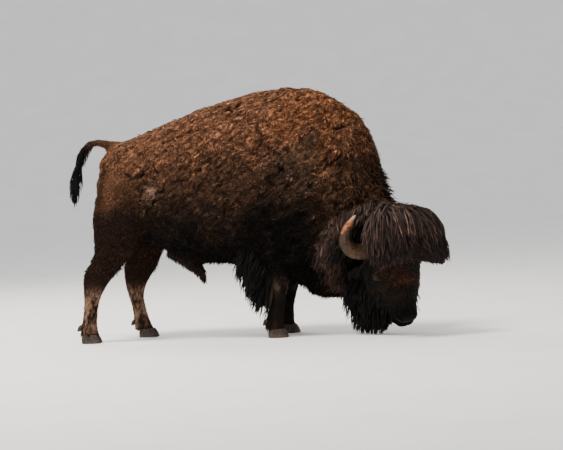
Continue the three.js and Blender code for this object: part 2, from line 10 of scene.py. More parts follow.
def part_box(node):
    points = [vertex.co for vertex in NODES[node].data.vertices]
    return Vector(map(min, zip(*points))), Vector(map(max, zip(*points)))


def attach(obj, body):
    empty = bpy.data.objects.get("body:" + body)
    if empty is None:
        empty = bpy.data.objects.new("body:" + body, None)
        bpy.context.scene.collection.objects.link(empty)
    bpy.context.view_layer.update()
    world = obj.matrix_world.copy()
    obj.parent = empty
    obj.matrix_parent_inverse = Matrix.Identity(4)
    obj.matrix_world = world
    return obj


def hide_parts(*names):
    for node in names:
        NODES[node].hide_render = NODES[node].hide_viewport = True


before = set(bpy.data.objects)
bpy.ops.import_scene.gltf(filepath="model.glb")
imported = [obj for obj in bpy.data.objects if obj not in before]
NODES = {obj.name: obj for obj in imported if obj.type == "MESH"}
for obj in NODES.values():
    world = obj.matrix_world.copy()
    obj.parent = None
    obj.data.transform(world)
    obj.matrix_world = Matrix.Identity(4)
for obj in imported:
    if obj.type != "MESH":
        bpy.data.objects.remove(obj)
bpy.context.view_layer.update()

# A grazing bison bull. Metres, +X forward, +Y to its left, +Z up.
HARD_WORDS = ("eye_", "horn_", "_claw_", "_dewclaw_")
FLESH = sorted(n for n in NODES if not any(w in n for w in HARD_WORDS))
LEFT, RIGHT = 1, -1

# --- small helpers


def unit(v):
    """Vectors at length 1."""
    return v / np.maximum(np.linalg.norm(v, axis=-1, keepdims=True), 1e-12)


def ramp(low, high, x):
    """0 below low, 1 above high, smooth between."""
    t = np.clip((x - low) / (high - low), 0, 1)
    return t * t * (3 - 2 * t)


def bell(x, width):
    """1 where x is 0, falling smoothly to nearly nothing at twice the width."""
    return np.exp(-((x / width) ** 2))


WAVES = 16  # in a random field


def field(points, size, seed):
    """A smooth random field of unit variance, whose patches are about `size` across."""
    r = np.random.default_rng(seed)
    k = unit(r.normal(size=(WAVES, 3))) * r.uniform(0.6, 1.4, (WAVES, 1)) * math.pi / size
    return np.sin(points @ k.T + r.uniform(0, 2 * math.pi, WAVES)).sum(1) * math.sqrt(2 / WAVES)


def tone(code):
    """Linear RGB of a colour written as rrggbb."""
    s = np.array([int(code[i : i + 2], 16) / 255 for i in (0, 2, 4)])
    return np.where(s <= 0.04045, s / 12.92, ((s + 0.055) / 1.055) ** 2.4)


def centre(node):
    low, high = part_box(node)
    return np.array((low + high) / 2)


def sided(word, side):
    """A node's name on one side of the animal."""
    return word + ("_left" if side == LEFT else "_right")


def tangent(v, normals):
    """The part of v that lies in the surface."""
    return v - (v * normals).sum(-1, keepdims=True) * normals


# --- the head's own frame
# +X out of the forehead, +Y to the head's left, +Z up to the poll, from midway between the eyes.

HEAD_YAW, HEAD_PITCH, HEAD_ROLL = math.radians(-57), math.radians(-1), math.radians(10)
HEAD_TURN = np.array(
    Matrix.Rotation(HEAD_YAW, 3, "Z")
    @ Matrix.Rotation(HEAD_PITCH, 3, "Y")
    @ Matrix.Rotation(HEAD_ROLL, 3, "X")
)
HEAD_AT = (centre("eye_left") + centre("eye_right")) / 2


def in_head(p):
    return (p - HEAD_AT) @ HEAD_TURN


# --- one skin from the flesh nodes

SKIN_VOXEL = 0.0132
OVERLAP = 0.001  # each node is grown by this so that the thin cuts between them close


def joined_flesh():
    """All flesh nodes, welded and grown a little, as one list of points and faces, and each face's node."""
    points, faces, owner = [], [], []
    for i, node in enumerate(FLESH):
        bm = bmesh.new()
        bm.from_mesh(NODES[node].data)
        bmesh.ops.remove_doubles(bm, verts=bm.verts, dist=1e-6)
        bm.normal_update()
        faces += [[v.index + len(points) for v in f.verts] for f in bm.faces]
        points += [tuple(v.co + v.normal * OVERLAP) for v in bm.verts]
        owner += [i] * len(bm.faces)
        bm.free()
    return points, faces, owner


def placed(name, data):
    """A new object in the scene."""
    obj = bpy.data.objects.new(name, data)
    bpy.context.scene.collection.objects.link(obj)
    return obj


def remeshed(mesh, voxel):
    """The mesh's outer surface as an even net of faces about `voxel` across."""
    obj = placed("work", mesh)
    modifier = obj.modifiers.new("remesh", "REMESH")
    modifier.mode = "VOXEL"
    modifier.voxel_size = voxel
    depsgraph = bpy.context.evaluated_depsgraph_get()
    made = bpy.data.meshes.new_from_object(obj.evaluated_get(depsgraph))
    bpy.data.objects.remove(obj)
    return made


def read(items, key, width, kind=np.float32):
    """A property of a mesh's items, as an array with `width` numbers for each."""
    flat = np.empty(len(items) * width, kind)
    items.foreach_get(key, flat)
    return flat.reshape(-1, width)


def points_of(mesh):
    return read(mesh.vertices, "co", 3).astype(float)


def normals_of(mesh):
    return read(mesh.vertex_normals, "vector", 3).astype(float)


def edges_of(mesh):
    return read(mesh.edges, "vertices", 2, np.int32)


def set_points(mesh, points):
    mesh.vertices.foreach_set("co", points.astype(np.float32).ravel())
    mesh.update()


def smooth_shaded(mesh):
    mesh.polygons.foreach_set("use_smooth", np.ones(len(mesh.polygons), bool))


def spread(values, edges, times, share=0.5):
    """Values at a mesh's points, each mixed with its neighbours' mean."""
    flat = values.reshape(len(values), -1).astype(float)
    a, b = edges[:, 0], edges[:, 1]
    count = np.bincount(a, minlength=len(flat)) + np.bincount(b, minlength=len(flat))
    for _ in range(times):
        total = [np.bincount(a, c[b], len(c)) + np.bincount(b, c[a], len(c)) for c in flat.T]
        flat = flat + share * (np.stack(total, 1) / np.maximum(count, 1)[:, None] - flat)
    return flat.reshape(values.shape)


def relaxed(values, edges, times):
    """Smoothed values that don't shrink: each step out is followed by a slightly longer step back."""
    for _ in range(times):
        values = spread(spread(values, edges, 1, 0.5), edges, 1, -0.52)
    return values


def largest_island(mesh):
    """Deletes all but the largest connected part of a mesh."""
    edges = edges_of(mesh)
    label = np.arange(len(mesh.vertices))
    while True:
        low = np.minimum(label[edges[:, 0]], label[edges[:, 1]])
        new = label.copy()
        np.minimum.at(new, edges[:, 0], low)
        np.minimum.at(new, edges[:, 1], low)
        new = new[new]
        if (new == label).all():
            break
        label = new
    kept = np.bincount(label).argmax()
    bm = bmesh.new()
    bm.from_mesh(mesh)
    bm.verts.ensure_lookup_table()
    strays = [bm.verts[i] for i in np.nonzero(label != kept)[0]]
    bmesh.ops.delete(bm, geom=strays, context="VERTS")
    bm.to_mesh(mesh)
    bm.free()


def refined(mesh, chosen):
    """Each face whose centre is chosen is cut in four."""
    bm = bmesh.new()
    bm.from_mesh(mesh)
    centres = np.array([f.calc_center_median() for f in bm.faces])
    picked = chosen(centres)
    edges = {e for f, hit in zip(bm.faces, picked) if hit for e in f.edges}
    bmesh.ops.subdivide_edges(bm, edges=list(edges), cuts=1, use_grid_fill=True)
    bm.to_mesh(mesh)
    bm.free()


def nearest_on(tree, places):
    """The surface's nearest point to each place, its normal there and its face's number."""
    found = [tree.find_nearest(Vector(p)) for p in places]
    return [np.array([f[i] for f in found]) for i in range(3)]


EYE_AREA = 0.062  # how far from an eye the skin is finer
flesh_points, flesh_faces, face_owner = joined_flesh()
flesh_tree = BVHTree.FromPolygons(flesh_points, flesh_faces)
rough = bpy.data.meshes.new("rough")
rough.from_pydata(flesh_points, [], flesh_faces)
skin = remeshed(rough, SKIN_VOXEL)
largest_island(skin)


def on_face(p):
    q = in_head(p)
    return (np.abs(q[:, 1]) < 0.2) & (q[:, 2] < 0.05) & (q[:, 2] > -0.42) & (q[:, 0] > -0.13)


def near_eye(p):
    left, right = (np.linalg.norm(p - centre(sided("eye", side)), axis=1) for side in (LEFT, RIGHT))
    return np.minimum(left, right) < EYE_AREA


def near_feature(p):
    """Close to an eye, or on the muzzle's end."""
    q = in_head(p)
    return near_eye(p) | ((q[:, 2] < -0.30) & (np.abs(q[:, 1]) < 0.11) & (q[:, 0] > -0.10))


points = relaxed(points_of(skin), edges_of(skin), 8)
set_points(skin, points)
for chosen in (on_face, near_feature, near_eye):
    refined(skin, chosen)
    points = points_of(skin)
    edges = edges_of(skin)
    points = np.where(chosen(points)[:, None], spread(points, edges, 3), points)
    set_points(skin, points)

# --- regions of the coat

REGIONS = "trunk neck thigh shank head jaw muzzle ear mop beard chap tail tuft sheath scrotum".split()
REGION_OF_PART = {
    "lower_leg": "shank",
    "hind_": "thigh",
    "upper_leg": "trunk",
    "tail_tuft": "tuft",
    "_chap": "chap",
    "ear_": "ear",
}


def region_of(node):
    """The coat's region that a flesh node belongs to: its own, or one that several nodes share."""
    return next((region for part, region in REGION_OF_PART.items() if part in node), node)


region_of_face = np.array([REGIONS.index(region_of(FLESH[i])) for i in face_owner])
nearest = region_of_face[nearest_on(flesh_tree, points)[2]]
share = spread(np.eye(len(REGIONS))[nearest], edges, 14)

PLAIN_DEPTH = 0.011  # of the coat, where its region has no depth of its own
DEPTHS = dict(thigh=0.009, shank=0.005, head=0.007, jaw=0.012, muzzle=0.001, ear=0.003, mop=0.024)
DEPTHS.update(beard=0.022, chap=0.022, tail=0.002, tuft=0.018, sheath=0.010, scrotum=0.003)
coat_depth = share @ np.array([DEPTHS.get(r, PLAIN_DEPTH) for r in REGIONS])
normals = unit(spread(normals_of(skin), edges, 3))

# --- the wool's relief

LOCK_WAY = unit(np.array([0.8, 0.0, 0.6]))  # matted locks and cracks slant up to the front
RUFF_AT = np.array([0.94, -0.12, 0.55])  # the middle of the ruff of long hair behind the horns and cheeks
FOLDS_AT = np.array([0.62, 0.0, 1.00])  # wrinkles of the neck behind the head
# In the head's frame: the middle of the parting that the mop's locks start from, how far it runs
# across the head, and an arch in the mop's lower edge.
WHORL = np.array([0.075, -0.007, 0.44])
PARTING = (-0.055, 0.045)
ARCH_AT, ARCH_HALF, ARCH_RISE = 0.085, 0.075, 0.12


def from_parting(p):
    """From the nearest place on the mop's parting to each place."""
    q = in_head(p)
    even = np.ones(len(q))
    nearest = np.stack([WHORL[0] * even, np.clip(q[:, 1], *PARTING), WHORL[2] * even], 1)
    return (q - nearest) @ HEAD_TURN.T


def squeezed(p, much):
    """Places moved together along the locks' way, so that a field of them is drawn out along it."""
    return p - much * (p @ LOCK_WAY)[:, None] * LOCK_WAY


def wobbled(p, by, size, seed):
    return p + by * np.stack([field(p, size, seed + i) for i in range(3)], 1)


def creases(p):
    """0 in open coat, 1 in the wandering cracks where the matted wool parts."""
    bent = squeezed(wobbled(p, 0.02, 0.09, 31), 0.78)
    lines = 1 - ramp(0.04, 0.22, np.abs(field(bent, 0.062, 34)))
    often = 0.55 * ramp(-0.25, -0.45, p[:, 0])
    return lines * ramp(0.0, 0.6, field(squeezed(p, 0.4), 0.10, 35) + often)


def neck_folds(p):
    """Short wrinkles, drawn out along the locks, where the neck bends down to the head."""
    bent = squeezed(wobbled(p, 0.014, 0.07, 36), 0.72)
    lines = 1 - ramp(0.0, 0.5, np.abs(field(bent, 0.036, 38)))
    away = p - FOLDS_AT
    return lines * ramp(0.36, 0.16, np.hypot(away[:, 0], 0.8 * away[:, 2]))


def from_cape_edge(p):
    """How far a place is in front of the edge of the hump's thick cape."""
    x, z = wobbled(p, 0.008, 0.07, 37)[:, [0, 2]].T
    edge = 0.085 + 4.8 * np.clip(z - 1.49, 0, None) ** 2 + 0.12 * np.clip(1.46 - z, 0, None)
    return x - edge


def wool_tone_and_shade(p):
    """Matted wool's light crests and dark hollows, as the logarithm of its brightness: random tone, with
    painted shade along the hollows.
    """
    bent = squeezed(wobbled(p, 0.008, 0.05, 44), 0.6)
    hollow = 1 - ramp(0.0, 0.6, np.abs(field(bent, 0.026, 43)))
    return 0.07 * field(bent, 0.046, 41) + 0.40 * field(bent, 0.015, 42) - 0.66 * hollow + 0.10


def part_of(*names):
    return sum(share[:, REGIONS.index(n)] for n in names)


wool = part_of("trunk", "neck")
ruff_reach = np.linalg.norm((points - RUFF_AT) * (1, 1, 1.35), axis=1)
ruff = ramp(0.57, 0.47, ruff_reach) * part_of("neck")
matted = ramp(0.7, 1.0, wool)
folds = neck_folds(points) * matted
crack = creases(points) * ramp(0.62, 0.9, points[:, 2]) * matted
ahead_of_edge = from_cape_edge(points)
cape = ramp(-0.012, 0.008, ahead_of_edge) * ramp(1.22, 1.36, points[:, 2]) * wool
cape_rim = cape * np.exp(-np.clip(ahead_of_edge, 0, None) / 0.09) * ramp(0.8, 0.4, normals[:, 2])
relief = 0.0035 * field(squeezed(points, 0.5), 0.046, 41) * wool
relief = relief + 0.022 * cape_rim - 0.016 * crack - 0.008 * folds
over_hoof = ramp(0.2, 0.6, -normals[:, 2]) * ramp(0.15, 0.12, points[:, 2]) * part_of("shank")
inset = (coat_depth - relief) * (1 - over_hoof) - 0.005 * over_hoof
points = points - normals * inset[:, None]

# the mop's lower edge is drawn up into an arch over the left half of the forehead
q = in_head(points)
arch = bell(q[:, 1] - ARCH_AT, ARCH_HALF) * ramp(0.11, 0.17, q[:, 0]) * part_of("mop")
points = points + (ARCH_RISE * arch * ramp(0.30, 0.04, q[:, 2]))[:, None] * HEAD_TURN[:, 2]

# --- face: lids, nostrils, mouth
EYE_RADIUS = 0.0235
LID_HALF_LENGTH, LID_UP, LID_DOWN = 0.0228, 0.0150, 0.0130
LID_THICK = 0.0026


def eye_frame(side):
    """Centre of an eye and its own axes: towards the nose, towards the forehead, and out along its gaze."""
    gaze = unit(np.array([0.6, side, -0.05]))
    to_nose = np.array([0.85, 0, -0.68])
    to_nose = unit(to_nose - (to_nose @ gaze) * gaze)
    to_brow = np.cross(gaze, to_nose)
    to_brow *= np.sign(to_brow[0])
    return centre(sided("eye", side)), np.stack([to_nose, to_brow, gaze]) @ HEAD_TURN.T


def from_lids(a, b):
    """Distance from the edge of the almond opening between the lids, less than 0 inside it."""
    high = np.where(b > 0, LID_UP, LID_DOWN)
    inside = np.clip(1 - (a / LID_HALF_LENGTH) ** 2, 0, 1)
    slope = 2 * high * a / LID_HALF_LENGTH**2
    level = (np.abs(b) - high * inside) / np.sqrt(1 + slope**2)
    beyond = np.hypot(np.abs(a) - LID_HALF_LENGTH, b)
    return np.where(np.abs(a) < LID_HALF_LENGTH, level, beyond)


def with_eye(p, side):
    """Points of the skin with lids formed round an eye, and each point's distance from the lids' edge."""
    at, axes = eye_frame(side)
    a, b, w = ((p - at) @ axes.T).T
    r = np.hypot(a, b)
    here = (r < EYE_AREA) & (w > -0.03)
    ring = here & (r > 0.038) & (r < 0.058)
    terms = lambda x, y: np.stack([x**0, x, y, x * x, x * y, y * y], 1)
    fit = np.linalg.lstsq(terms(a[ring], b[ring]), w[ring], rcond=None)[0]
    base = terms(a, b) @ fit
    w_base = w + (base - w) * ramp(0.052, 0.036, r)
    w_base += 0.007 * np.exp(-((a + 0.004) ** 2 + (b - 0.034) ** 2) / 0.017**2)
    w_base += 0.003 * np.exp(-((a + 0.002) ** 2 + (b + 0.030) ** 2) / 0.014**2)
    s = from_lids(a, b)
    ball = np.sqrt(np.clip(EYE_RADIUS**2 - r**2, 0.006**2, None))
    lid = ball + LID_THICK
    lid = lid + (w_base - lid) * ramp(0.004, 0.019, s)
    folds = bell(s - 0.009, 0.0018) + 0.8 * bell(s - 0.0155, 0.0022)
    lid = lid - 0.0014 * folds * ramp(0.05, 0.02, r)
    new = np.where(s < 0, ball - 0.007, lid)
    new = new + (lid - new) * ramp(-0.0012, 0.0, s) * (s < 0)
    moved = p + (new - w)[:, None] * axes[2]
    return np.where(here[:, None], moved, p), np.where(here, s, 1.0)


NOSTRIL_AT = np.array([0.030, 0.054, -0.322])
MOUTH_AT = np.array([0.034, 0, -0.360])
MOUTH_NORMAL = unit(np.array([-0.82, 0, -0.57]))


def with_muzzle(p, n):
    """Points of the skin with nostrils, the mouth's line and the nose's groove, and how hollow each is."""
    q = in_head(p)
    m = n @ HEAD_TURN
    sunk = np.zeros(len(p))
    mouth = (q - MOUTH_AT) @ MOUTH_NORMAL
    fade = ramp(-0.22, -0.27, q[:, 2])
    slit = bell(mouth, 0.0045) * fade
    lips = bell(mouth + 0.011, 0.007) * fade
    push = -0.009 * slit + 0.004 * lips - 0.006 * ramp(0.0, 0.012, mouth) * fade
    sunk += slit
    for side in (LEFT, RIGHT):
        at = NOSTRIL_AT * (1, side, 1)
        d = q - at
        long_way = unit(np.array([0.35, -0.45 * side, -0.75]))
        out = unit(np.array([0.62, 0.68 * side, -0.25]))
        long_way = unit(long_way - (long_way @ out) * out)
        wide_way = np.cross(out, long_way)
        a, b = d @ long_way, d @ wide_way
        b = b - 8.0 * a * a * side
        g = np.sqrt((a / 0.020) ** 2 + (b / 0.0105) ** 2)
        close = (np.linalg.norm(d, axis=1) < 0.04) & (m @ out > 0)
        hole = (1 - ramp(0.35, 1.1, g)) * close
        push = push - 0.020 * hole + 0.004 * bell(g - 1.35, 0.35) * close
        sunk = np.maximum(sunk, hole)
    pad = (q[:, 2] < -0.31) & (q[:, 0] > 0.0) & (mouth < 0)
    push = push - 0.003 * bell(q[:, 1], 0.004) * pad
    return p + n * push[:, None], sunk


for _ in range(2):
    set_points(skin, points)
    normals = normals_of(skin)
    calm = spread(points, edges, 1)
    points = np.where(near_feature(points)[:, None], calm, points)
points, lids_left = with_eye(points, LEFT)
points, lids_right = with_eye(points, RIGHT)
from_eye = np.minimum(lids_left, lids_right)
set_points(skin, points)
points, hollow = with_muzzle(points, unit(spread(normals_of(skin), edges, 2)))
set_points(skin, points)
normals = normals_of(skin)

# --- colours of skin and coat

WOOL = tone("3d2a1d")
WOOL_TAN = tone("68432b")
WOOL_BACK = tone("61412e")
WOOL_GREY = tone("453529")
WOOL_LOW_SHADED = tone("0e0b09")
BLACK = tone("070606")
FACE = tone("120d0a")
FACE_RUST = tone("301b10")
FLECK = tone("6e3c22")
LEG = tone("261913")
FORELEG = tone("181411")
DUST = tone("967761")
MOP = tone("302420")
CROWN = tone("40302a")
RUFF_HIGHLIGHT = tone("4e3d35")
RUFF_DARK = tone("0c0908")
NAKED = tone("1c1916")
LIP = tone("4a3a33")
LID = tone("3c312b")
HIP = tone("7c6454")
CAPE_FRONT = 0.62  # where the cape's tan wool ends in front
HIP_AT = np.array([-0.70, 1.037])  # a worn patch on the hip, as x and z
GROOVE = ((-1.059, 1.21), (-1.077, 0.824))  # the groove down the back of the thigh, where shade is painted dark


def mixed(a, b, t):
    return a + (b - a) * np.clip(t, 0, 1)[:, None]


def body_colour(p):
    """The wool's colours: tan over the hump and lighter on the back, partly bleached wool and partly painted
    sunlight from above; near black on the belly and between the legs, partly dark hair and partly painted
    shade.
    """
    x, z = p[:, 0], p[:, 2]
    wander = 0.05 * field(p, 0.14, 51) + 0.02 * field(p, 0.05, 52)
    height = z + wander
    lower_edge = 0.10 * ramp(-0.2, 0.3, x) - 0.24 * ramp(0.38, 0.6, x)
    # near black low on the body: partly the dark hair there, partly painted shade
    colour = mixed(WOOL_LOW_SHADED, WOOL, ramp(0.66 + lower_edge, 1.18 + lower_edge, height))
    # lighter up the back and over the rump: partly the wool's own colour, partly painted light from above
    colour = mixed(colour, WOOL_BACK, ramp(1.08, 1.5, height + 0.20 * ramp(-0.3, -1.0, x)))
    grey = ramp(0.0, 0.25, x) * ramp(0.55, 0.40, x) * ramp(0.95, 1.1, height) * ramp(1.42, 1.3, height)
    colour = mixed(colour, WOOL_GREY, 0.45 * grey)
    edge = from_cape_edge(p)
    ahead = ramp(0.0, 0.04, edge)
    bottom = 1.36 - 0.16 * ramp(0.42, 0.56, x)
    front = 1 - ramp(CAPE_FRONT, CAPE_FRONT + 0.14, x + 0.3 * (1.5 - z) + wander)
    tan = ahead * front * ramp(bottom, bottom + 0.12, height)
    # the cape's tan: partly bleached wool, partly painted sunlight on the hump's top and front
    colour = mixed(colour, WOOL_TAN, 0.8 * tan)
    worn = np.exp(-((((x - HIP_AT[0]) / 0.035) ** 2 + ((z - HIP_AT[1]) / 0.055) ** 2)))
    colour = mixed(colour, HIP, 0.9 * worn)
    # painted shade in the groove down the back of the thigh
    (top_x, top_z), (low_x, low_z) = GROOVE
    groove = bell(x - np.interp(z, (low_z, top_z), (low_x, top_x)), 0.022)
    groove = groove * ramp(low_z - 0.1, low_z, z) * ramp(top_z + 0.1, top_z, z)
    # painted shadow just behind the cape's raised edge, and a painted highlight along its rim
    shadow_behind_cape = bell(edge + 0.022, 0.018) * ramp(1.25, 1.4, z)
    rim = bell(edge - 0.018, 0.020) * ramp(1.36, 1.46, z) * ramp(1.71, 1.66, z)
    colour = colour * (1 + 0.5 * rim)[:, None]
    return colour * (1 - 0.55 * groove)[:, None] * (1 - 0.5 * shadow_behind_cape)[:, None]


def leg_colour(p):
    """Dark hair, with pale dust in streaks below the hocks and a little on the knees."""
    streaks = p * (1, 1, 0.35)
    fine = field(streaks, 0.009, 53) * 0.6 + field(streaks, 0.028, 54) * 0.5
    hind = ramp(-0.1, -0.5, p[:, 0])
    dusty = ramp(-0.9, 0.9, fine) * ramp(0.42, 0.32, p[:, 2]) * ramp(0.06, 0.12, p[:, 2]) * hind
    knee = ramp(-0.3, 1.0, fine) * bell(p[:, 2] - 0.36, 0.05) * (1 - hind)
    plain = mixed(FORELEG, LEG, np.maximum(hind, ramp(0.16, 0.08, p[:, 2])))
    return mixed(plain, DUST, 0.85 * dusty + 0.32 * knee)


# Rusty patches as places across and up the face, and their reach: under the mop, across the bridge
# and beside the nose.
FACE_PATCHES = ((-0.035, 0.01, 0.06, 0.06), (0.05, -0.062, 0.09, 0.022), (-0.06, -0.160, 0.05, 0.028))


def face_colour(p):
    """Dark brown, rusty between the eyes and down the nose's bridge, near black on the muzzle."""
    q = in_head(p)
    wander = field(p, 0.035, 55)
    front = ramp(0.0, 0.06, q[:, 0])
    brow, band, low = (
        np.exp(-(((q[:, 1] - y) / wide) ** 2 + ((q[:, 2] - z) / high) ** 2))
        for y, z, wide, high in FACE_PATCHES
    )
    rust = front * np.clip((brow + band + 0.8 * low) * ramp(-1.4, 1.0, wander), 0, 1)
    cheek = bell(q[:, 2] + 0.10 + 0.15 * q[:, 0], 0.028) * ramp(0.08, 0.0, q[:, 0])
    rust = np.clip(rust + 0.55 * cheek * ramp(-0.5, 0.8, wander), 0, 1)
    colour = mixed(FACE, FACE_RUST, rust)
    flecks = ramp(1.3, 1.9, field(p * (1, 1, 1.5), 0.009, 57) + 1.0 * band)
    colour = mixed(colour, FLECK, 0.8 * (flecks * front * ramp(-0.12, -0.08, q[:, 2])))
    return mixed(colour, BLACK, ramp(-0.17, -0.27, q[:, 2]))


colour = body_colour(points)
whole = np.ones((len(points), 1))
from_crown = np.linalg.norm(from_parting(points), axis=1)
parts = {
    "thigh": mixed(np.maximum(colour, 0.75 * LEG), LEG, ramp(0.9, 0.6, points[:, 2])),
    "shank": leg_colour(points),
    "head": face_colour(points),
    "jaw": mixed(FACE, BLACK, ramp(0.0, -0.2, in_head(points)[:, 2])),
    "muzzle": face_colour(points),
    "ear": FACE * whole,
    # away from the crown the mop is darkened to 0.6: painted shade for the gaps between its locks, which
    # take this colour too
    "mop": mixed(0.6 * MOP * whole, CROWN * whole, ramp(0.30, 0.0, from_crown)),
    "beard": BLACK * whole,
    "chap": BLACK * whole,
    "tail": mixed(0.6 * WOOL_BACK * whole, BLACK * whole, ramp(-1.10, -1.22, points[:, 0])),
    "tuft": BLACK * whole,
    "sheath": 0.8 * LEG * whole,
    "scrotum": LEG * whole,
}


def place(region):
    return part_of(region)[:, None]


# painted highlight on the ruff's outer rim and its upper part, over its dark hair
ruff_rim_highlight = bell(ruff_reach - 0.48, 0.05)
ruff_rim_highlight = np.maximum(ruff_rim_highlight, 0.75 * ramp(0.74, 0.84, points[:, 2]))
ruff_highlight = ruff_rim_highlight * ramp(-1.6, 0.4, field(points, 0.05, 58) + 0.4)
ruff_tone = mixed(RUFF_DARK * whole, RUFF_HIGHLIGHT * whole, ruff_highlight)
RUST_AT = np.array([0.53, -0.2, 0.395])  # a rusty patch low on the ruff's edge
rusty = np.exp(-(((points - RUST_AT) / (0.06, 0.3, 0.10)) ** 2).sum(1))
ruff_tone = mixed(ruff_tone, FACE_RUST, rusty)
colour = mixed(colour, ruff_tone, 0.9 * ruff)
nape = ramp(0.45, 0.85, normals[:, 0]) * ramp(1.26, 1.10, points[:, 2]) * part_of("neck") * (1 - ruff)
colour = colour * (1 - 0.6 * nape)[:, None]
neck_light = 1 + 0.3 * ramp(1.3, 1.1, points[:, 2])[:, None]
colour = colour * (place("trunk") + neck_light * place("neck"))
colour = colour + sum(place(r) * c for r, c in parts.items())
# painted shade in the wool's cracks and in the neck's folds
colour = colour * (1 - 0.85 * crack)[:, None] * (1 - 0.5 * folds)[:, None]
local = in_head(points)
from_mouth = (local - MOUTH_AT) @ MOUTH_NORMAL
naked = ramp(-0.300, -0.322, local[:, 2] + 0.004 * field(points, 0.02, 56)) * ramp(0.012, 0.004, from_mouth)
colour = mixed(colour, NAKED * whole, naked)
colour = mixed(colour, LIP * whole, 0.8 * naked * bell(from_mouth + 0.010, 0.006))
colour = mixed(colour, LID * whole, ramp(0.011, 0.004, from_eye))
# painted shade in the nostrils and the mouth's slit
colour = colour * (1 - 0.85 * hollow)[:, None]

# --- lie of the coat

DOWN = np.array([0.0, 0.0, -1.0])


def lies(p):
    """Which way the hair points at each place, before it is laid on the surface."""
    fixed = lambda *way: unit(np.array(way, float))
    q = in_head(p)
    even = np.ones(len(q))
    to_jaw = unit(np.stack([-0.6 * even, 0.5 * np.sign(q[:, 1]), -0.7 * even], 1)) @ HEAD_TURN.T
    tail_way = mixed(np.array([-1.0, 0, 0.1]), np.array([-0.35, 0, -1.0]), ramp(-1.08, -1.2, p[:, 0]))
    ways = {
        "trunk": fixed(-0.75, 0, -0.7),
        "neck": fixed(-0.45, 0, -0.9),
        "thigh": fixed(-0.35, 0, -1),
        "shank": fixed(-0.1, 0, -1),
        "head": to_jaw,
        "jaw": fixed(-0.1, 0, -1),
        "muzzle": to_jaw,
        "ear": fixed(-0.3, 0, -1),
        "mop": unit(unit(from_parting(p)) + 0.55 * DOWN),
        "beard": fixed(0, 0, -1),
        "chap": fixed(-0.55, 0, -1),
        "tail": unit(tail_way),
        "tuft": fixed(-0.1, 0, -1),
        "sheath": fixed(0.5, 0, -0.8),
        "scrotum": fixed(0, 0, -1),
    }
    return sum(place(r) * way for r, way in ways.items())


lie = unit(tangent(spread(lies(points), edges, 6), normals))

# --- the skin as an object


def attribute(mesh, name, kind, values):
    layer = mesh.attributes.new(name, kind, "POINT")
    key = "color" if kind == "FLOAT_COLOR" else "vector" if kind == "FLOAT_VECTOR" else "value"
    layer.data.foreach_set(key, np.ascontiguousarray(values, np.float32).ravel())


def with_alpha(rgb):
    return np.hstack([rgb, np.ones((len(rgb), 1))])


# the coat's colour with the wool's random tone and painted shade along its hollows
shaded_coat = colour * np.exp(wool_tone_and_shade(points) * wool)[:, None]
attribute(skin, "coat_colour", "FLOAT_COLOR", with_alpha(shaded_coat))
attribute(skin, "woolly", "FLOAT", np.clip(wool + part_of("thigh"), 0, 1))
smooth_shaded(skin)
skin.name = "skin"
skin_object = placed("skin", skin)
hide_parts(*FLESH)

# An unwrap of the skin's own shape: charts by the direction that the surface faces.
bpy.context.view_layer.objects.active = skin_object
skin_object.select_set(True)
bpy.ops.object.mode_set(mode="EDIT")
bpy.ops.mesh.select_all(action="SELECT")
bpy.ops.uv.smart_project(angle_limit=math.radians(66), island_margin=0.002)
bpy.ops.object.mode_set(mode="OBJECT")
skin_object.select_set(False)
skin.uv_layers[0].name = "OFBake"
loop_uv = read(skin.uv_layers["OFBake"].data, "uv", 2)
skin.calc_loop_triangles()
triangles = read(skin.loop_triangles, "vertices", 3, np.int32)
triangle_loops = read(skin.loop_triangles, "loops", 3, np.int32)
skin_tree = BVHTree.FromPolygons([tuple(p) for p in points], [tuple(t) for t in triangles])

# --- roots of the hair

sides = points[triangles]
areas = np.linalg.norm(np.cross(sides[:, 1] - sides[:, 0], sides[:, 2] - sides[:, 0]), axis=1) / 2
DRAWS = 2.6  # for each place where hair could grow, so that hardly a cell stays empty
CELL = 0.9  # a cell's side over the spacing; each cell keeps one root


class Roots:
    """Places where hair grows: triangles of the skin and weights of their corners."""

    def __init__(self, triangle, weights, seed):
        self.triangle, self.weights, self.seed = triangle, weights, seed
        self.count = len(triangle)
        self.at = self.read(points)
        self.normal = unit(self.read(normals))
        self.lie = unit(tangent(self.read(lie), self.normal))
        self.colour = self.read(colour) * np.exp(wool_tone_and_shade(self.at) * self.read(wool))[:, None]
        self.uv = (loop_uv[triangle_loops[triangle]] * weights[:, :, None]).sum(1)
        self.crack = self.read(crack)

    def read(self, values):
        flat = values.reshape(len(values), -1)
        got = (flat[triangles[self.triangle]] * self.weights[:, :, None]).sum(1)
        return got if values.ndim > 1 else got[:, 0]


def scattered(weight, spacing, seed):
    """Roots about `spacing` apart where `weight`, a number per point of the skin, passes a random draw."""
    r = np.random.default_rng(seed)
    chance = np.clip(weight[triangles].mean(1), 0, 1) * areas
    draws = int(chance.sum() / spacing**2 * DRAWS)
    chosen = r.choice(len(triangles), draws, p=chance / chance.sum())
    u = r.random((draws, 2))
    u = np.where(u.sum(1, keepdims=True) > 1, 1 - u, u)
    weights = np.stack([1 - u.sum(1), u[:, 0], u[:, 1]], 1)
    at = (sides[chosen] * weights[:, :, None]).sum(1)
    cell = np.floor(at / (spacing * CELL)).astype(np.int64) + 4096
    key = (cell[:, 0] << 40) + (cell[:, 1] << 20) + cell[:, 2]
    first = np.unique(key, return_index=True)[1]
    first = first[np.argsort(at[first, 0], kind="stable")]
    return Roots(chosen[first], weights[first], seed + 100)


# --- hair as solid mesh

PATCH = 0.003  # side of a tuft's patch on the unwrap
PIECE_LIMIT = 195_000  # triangles


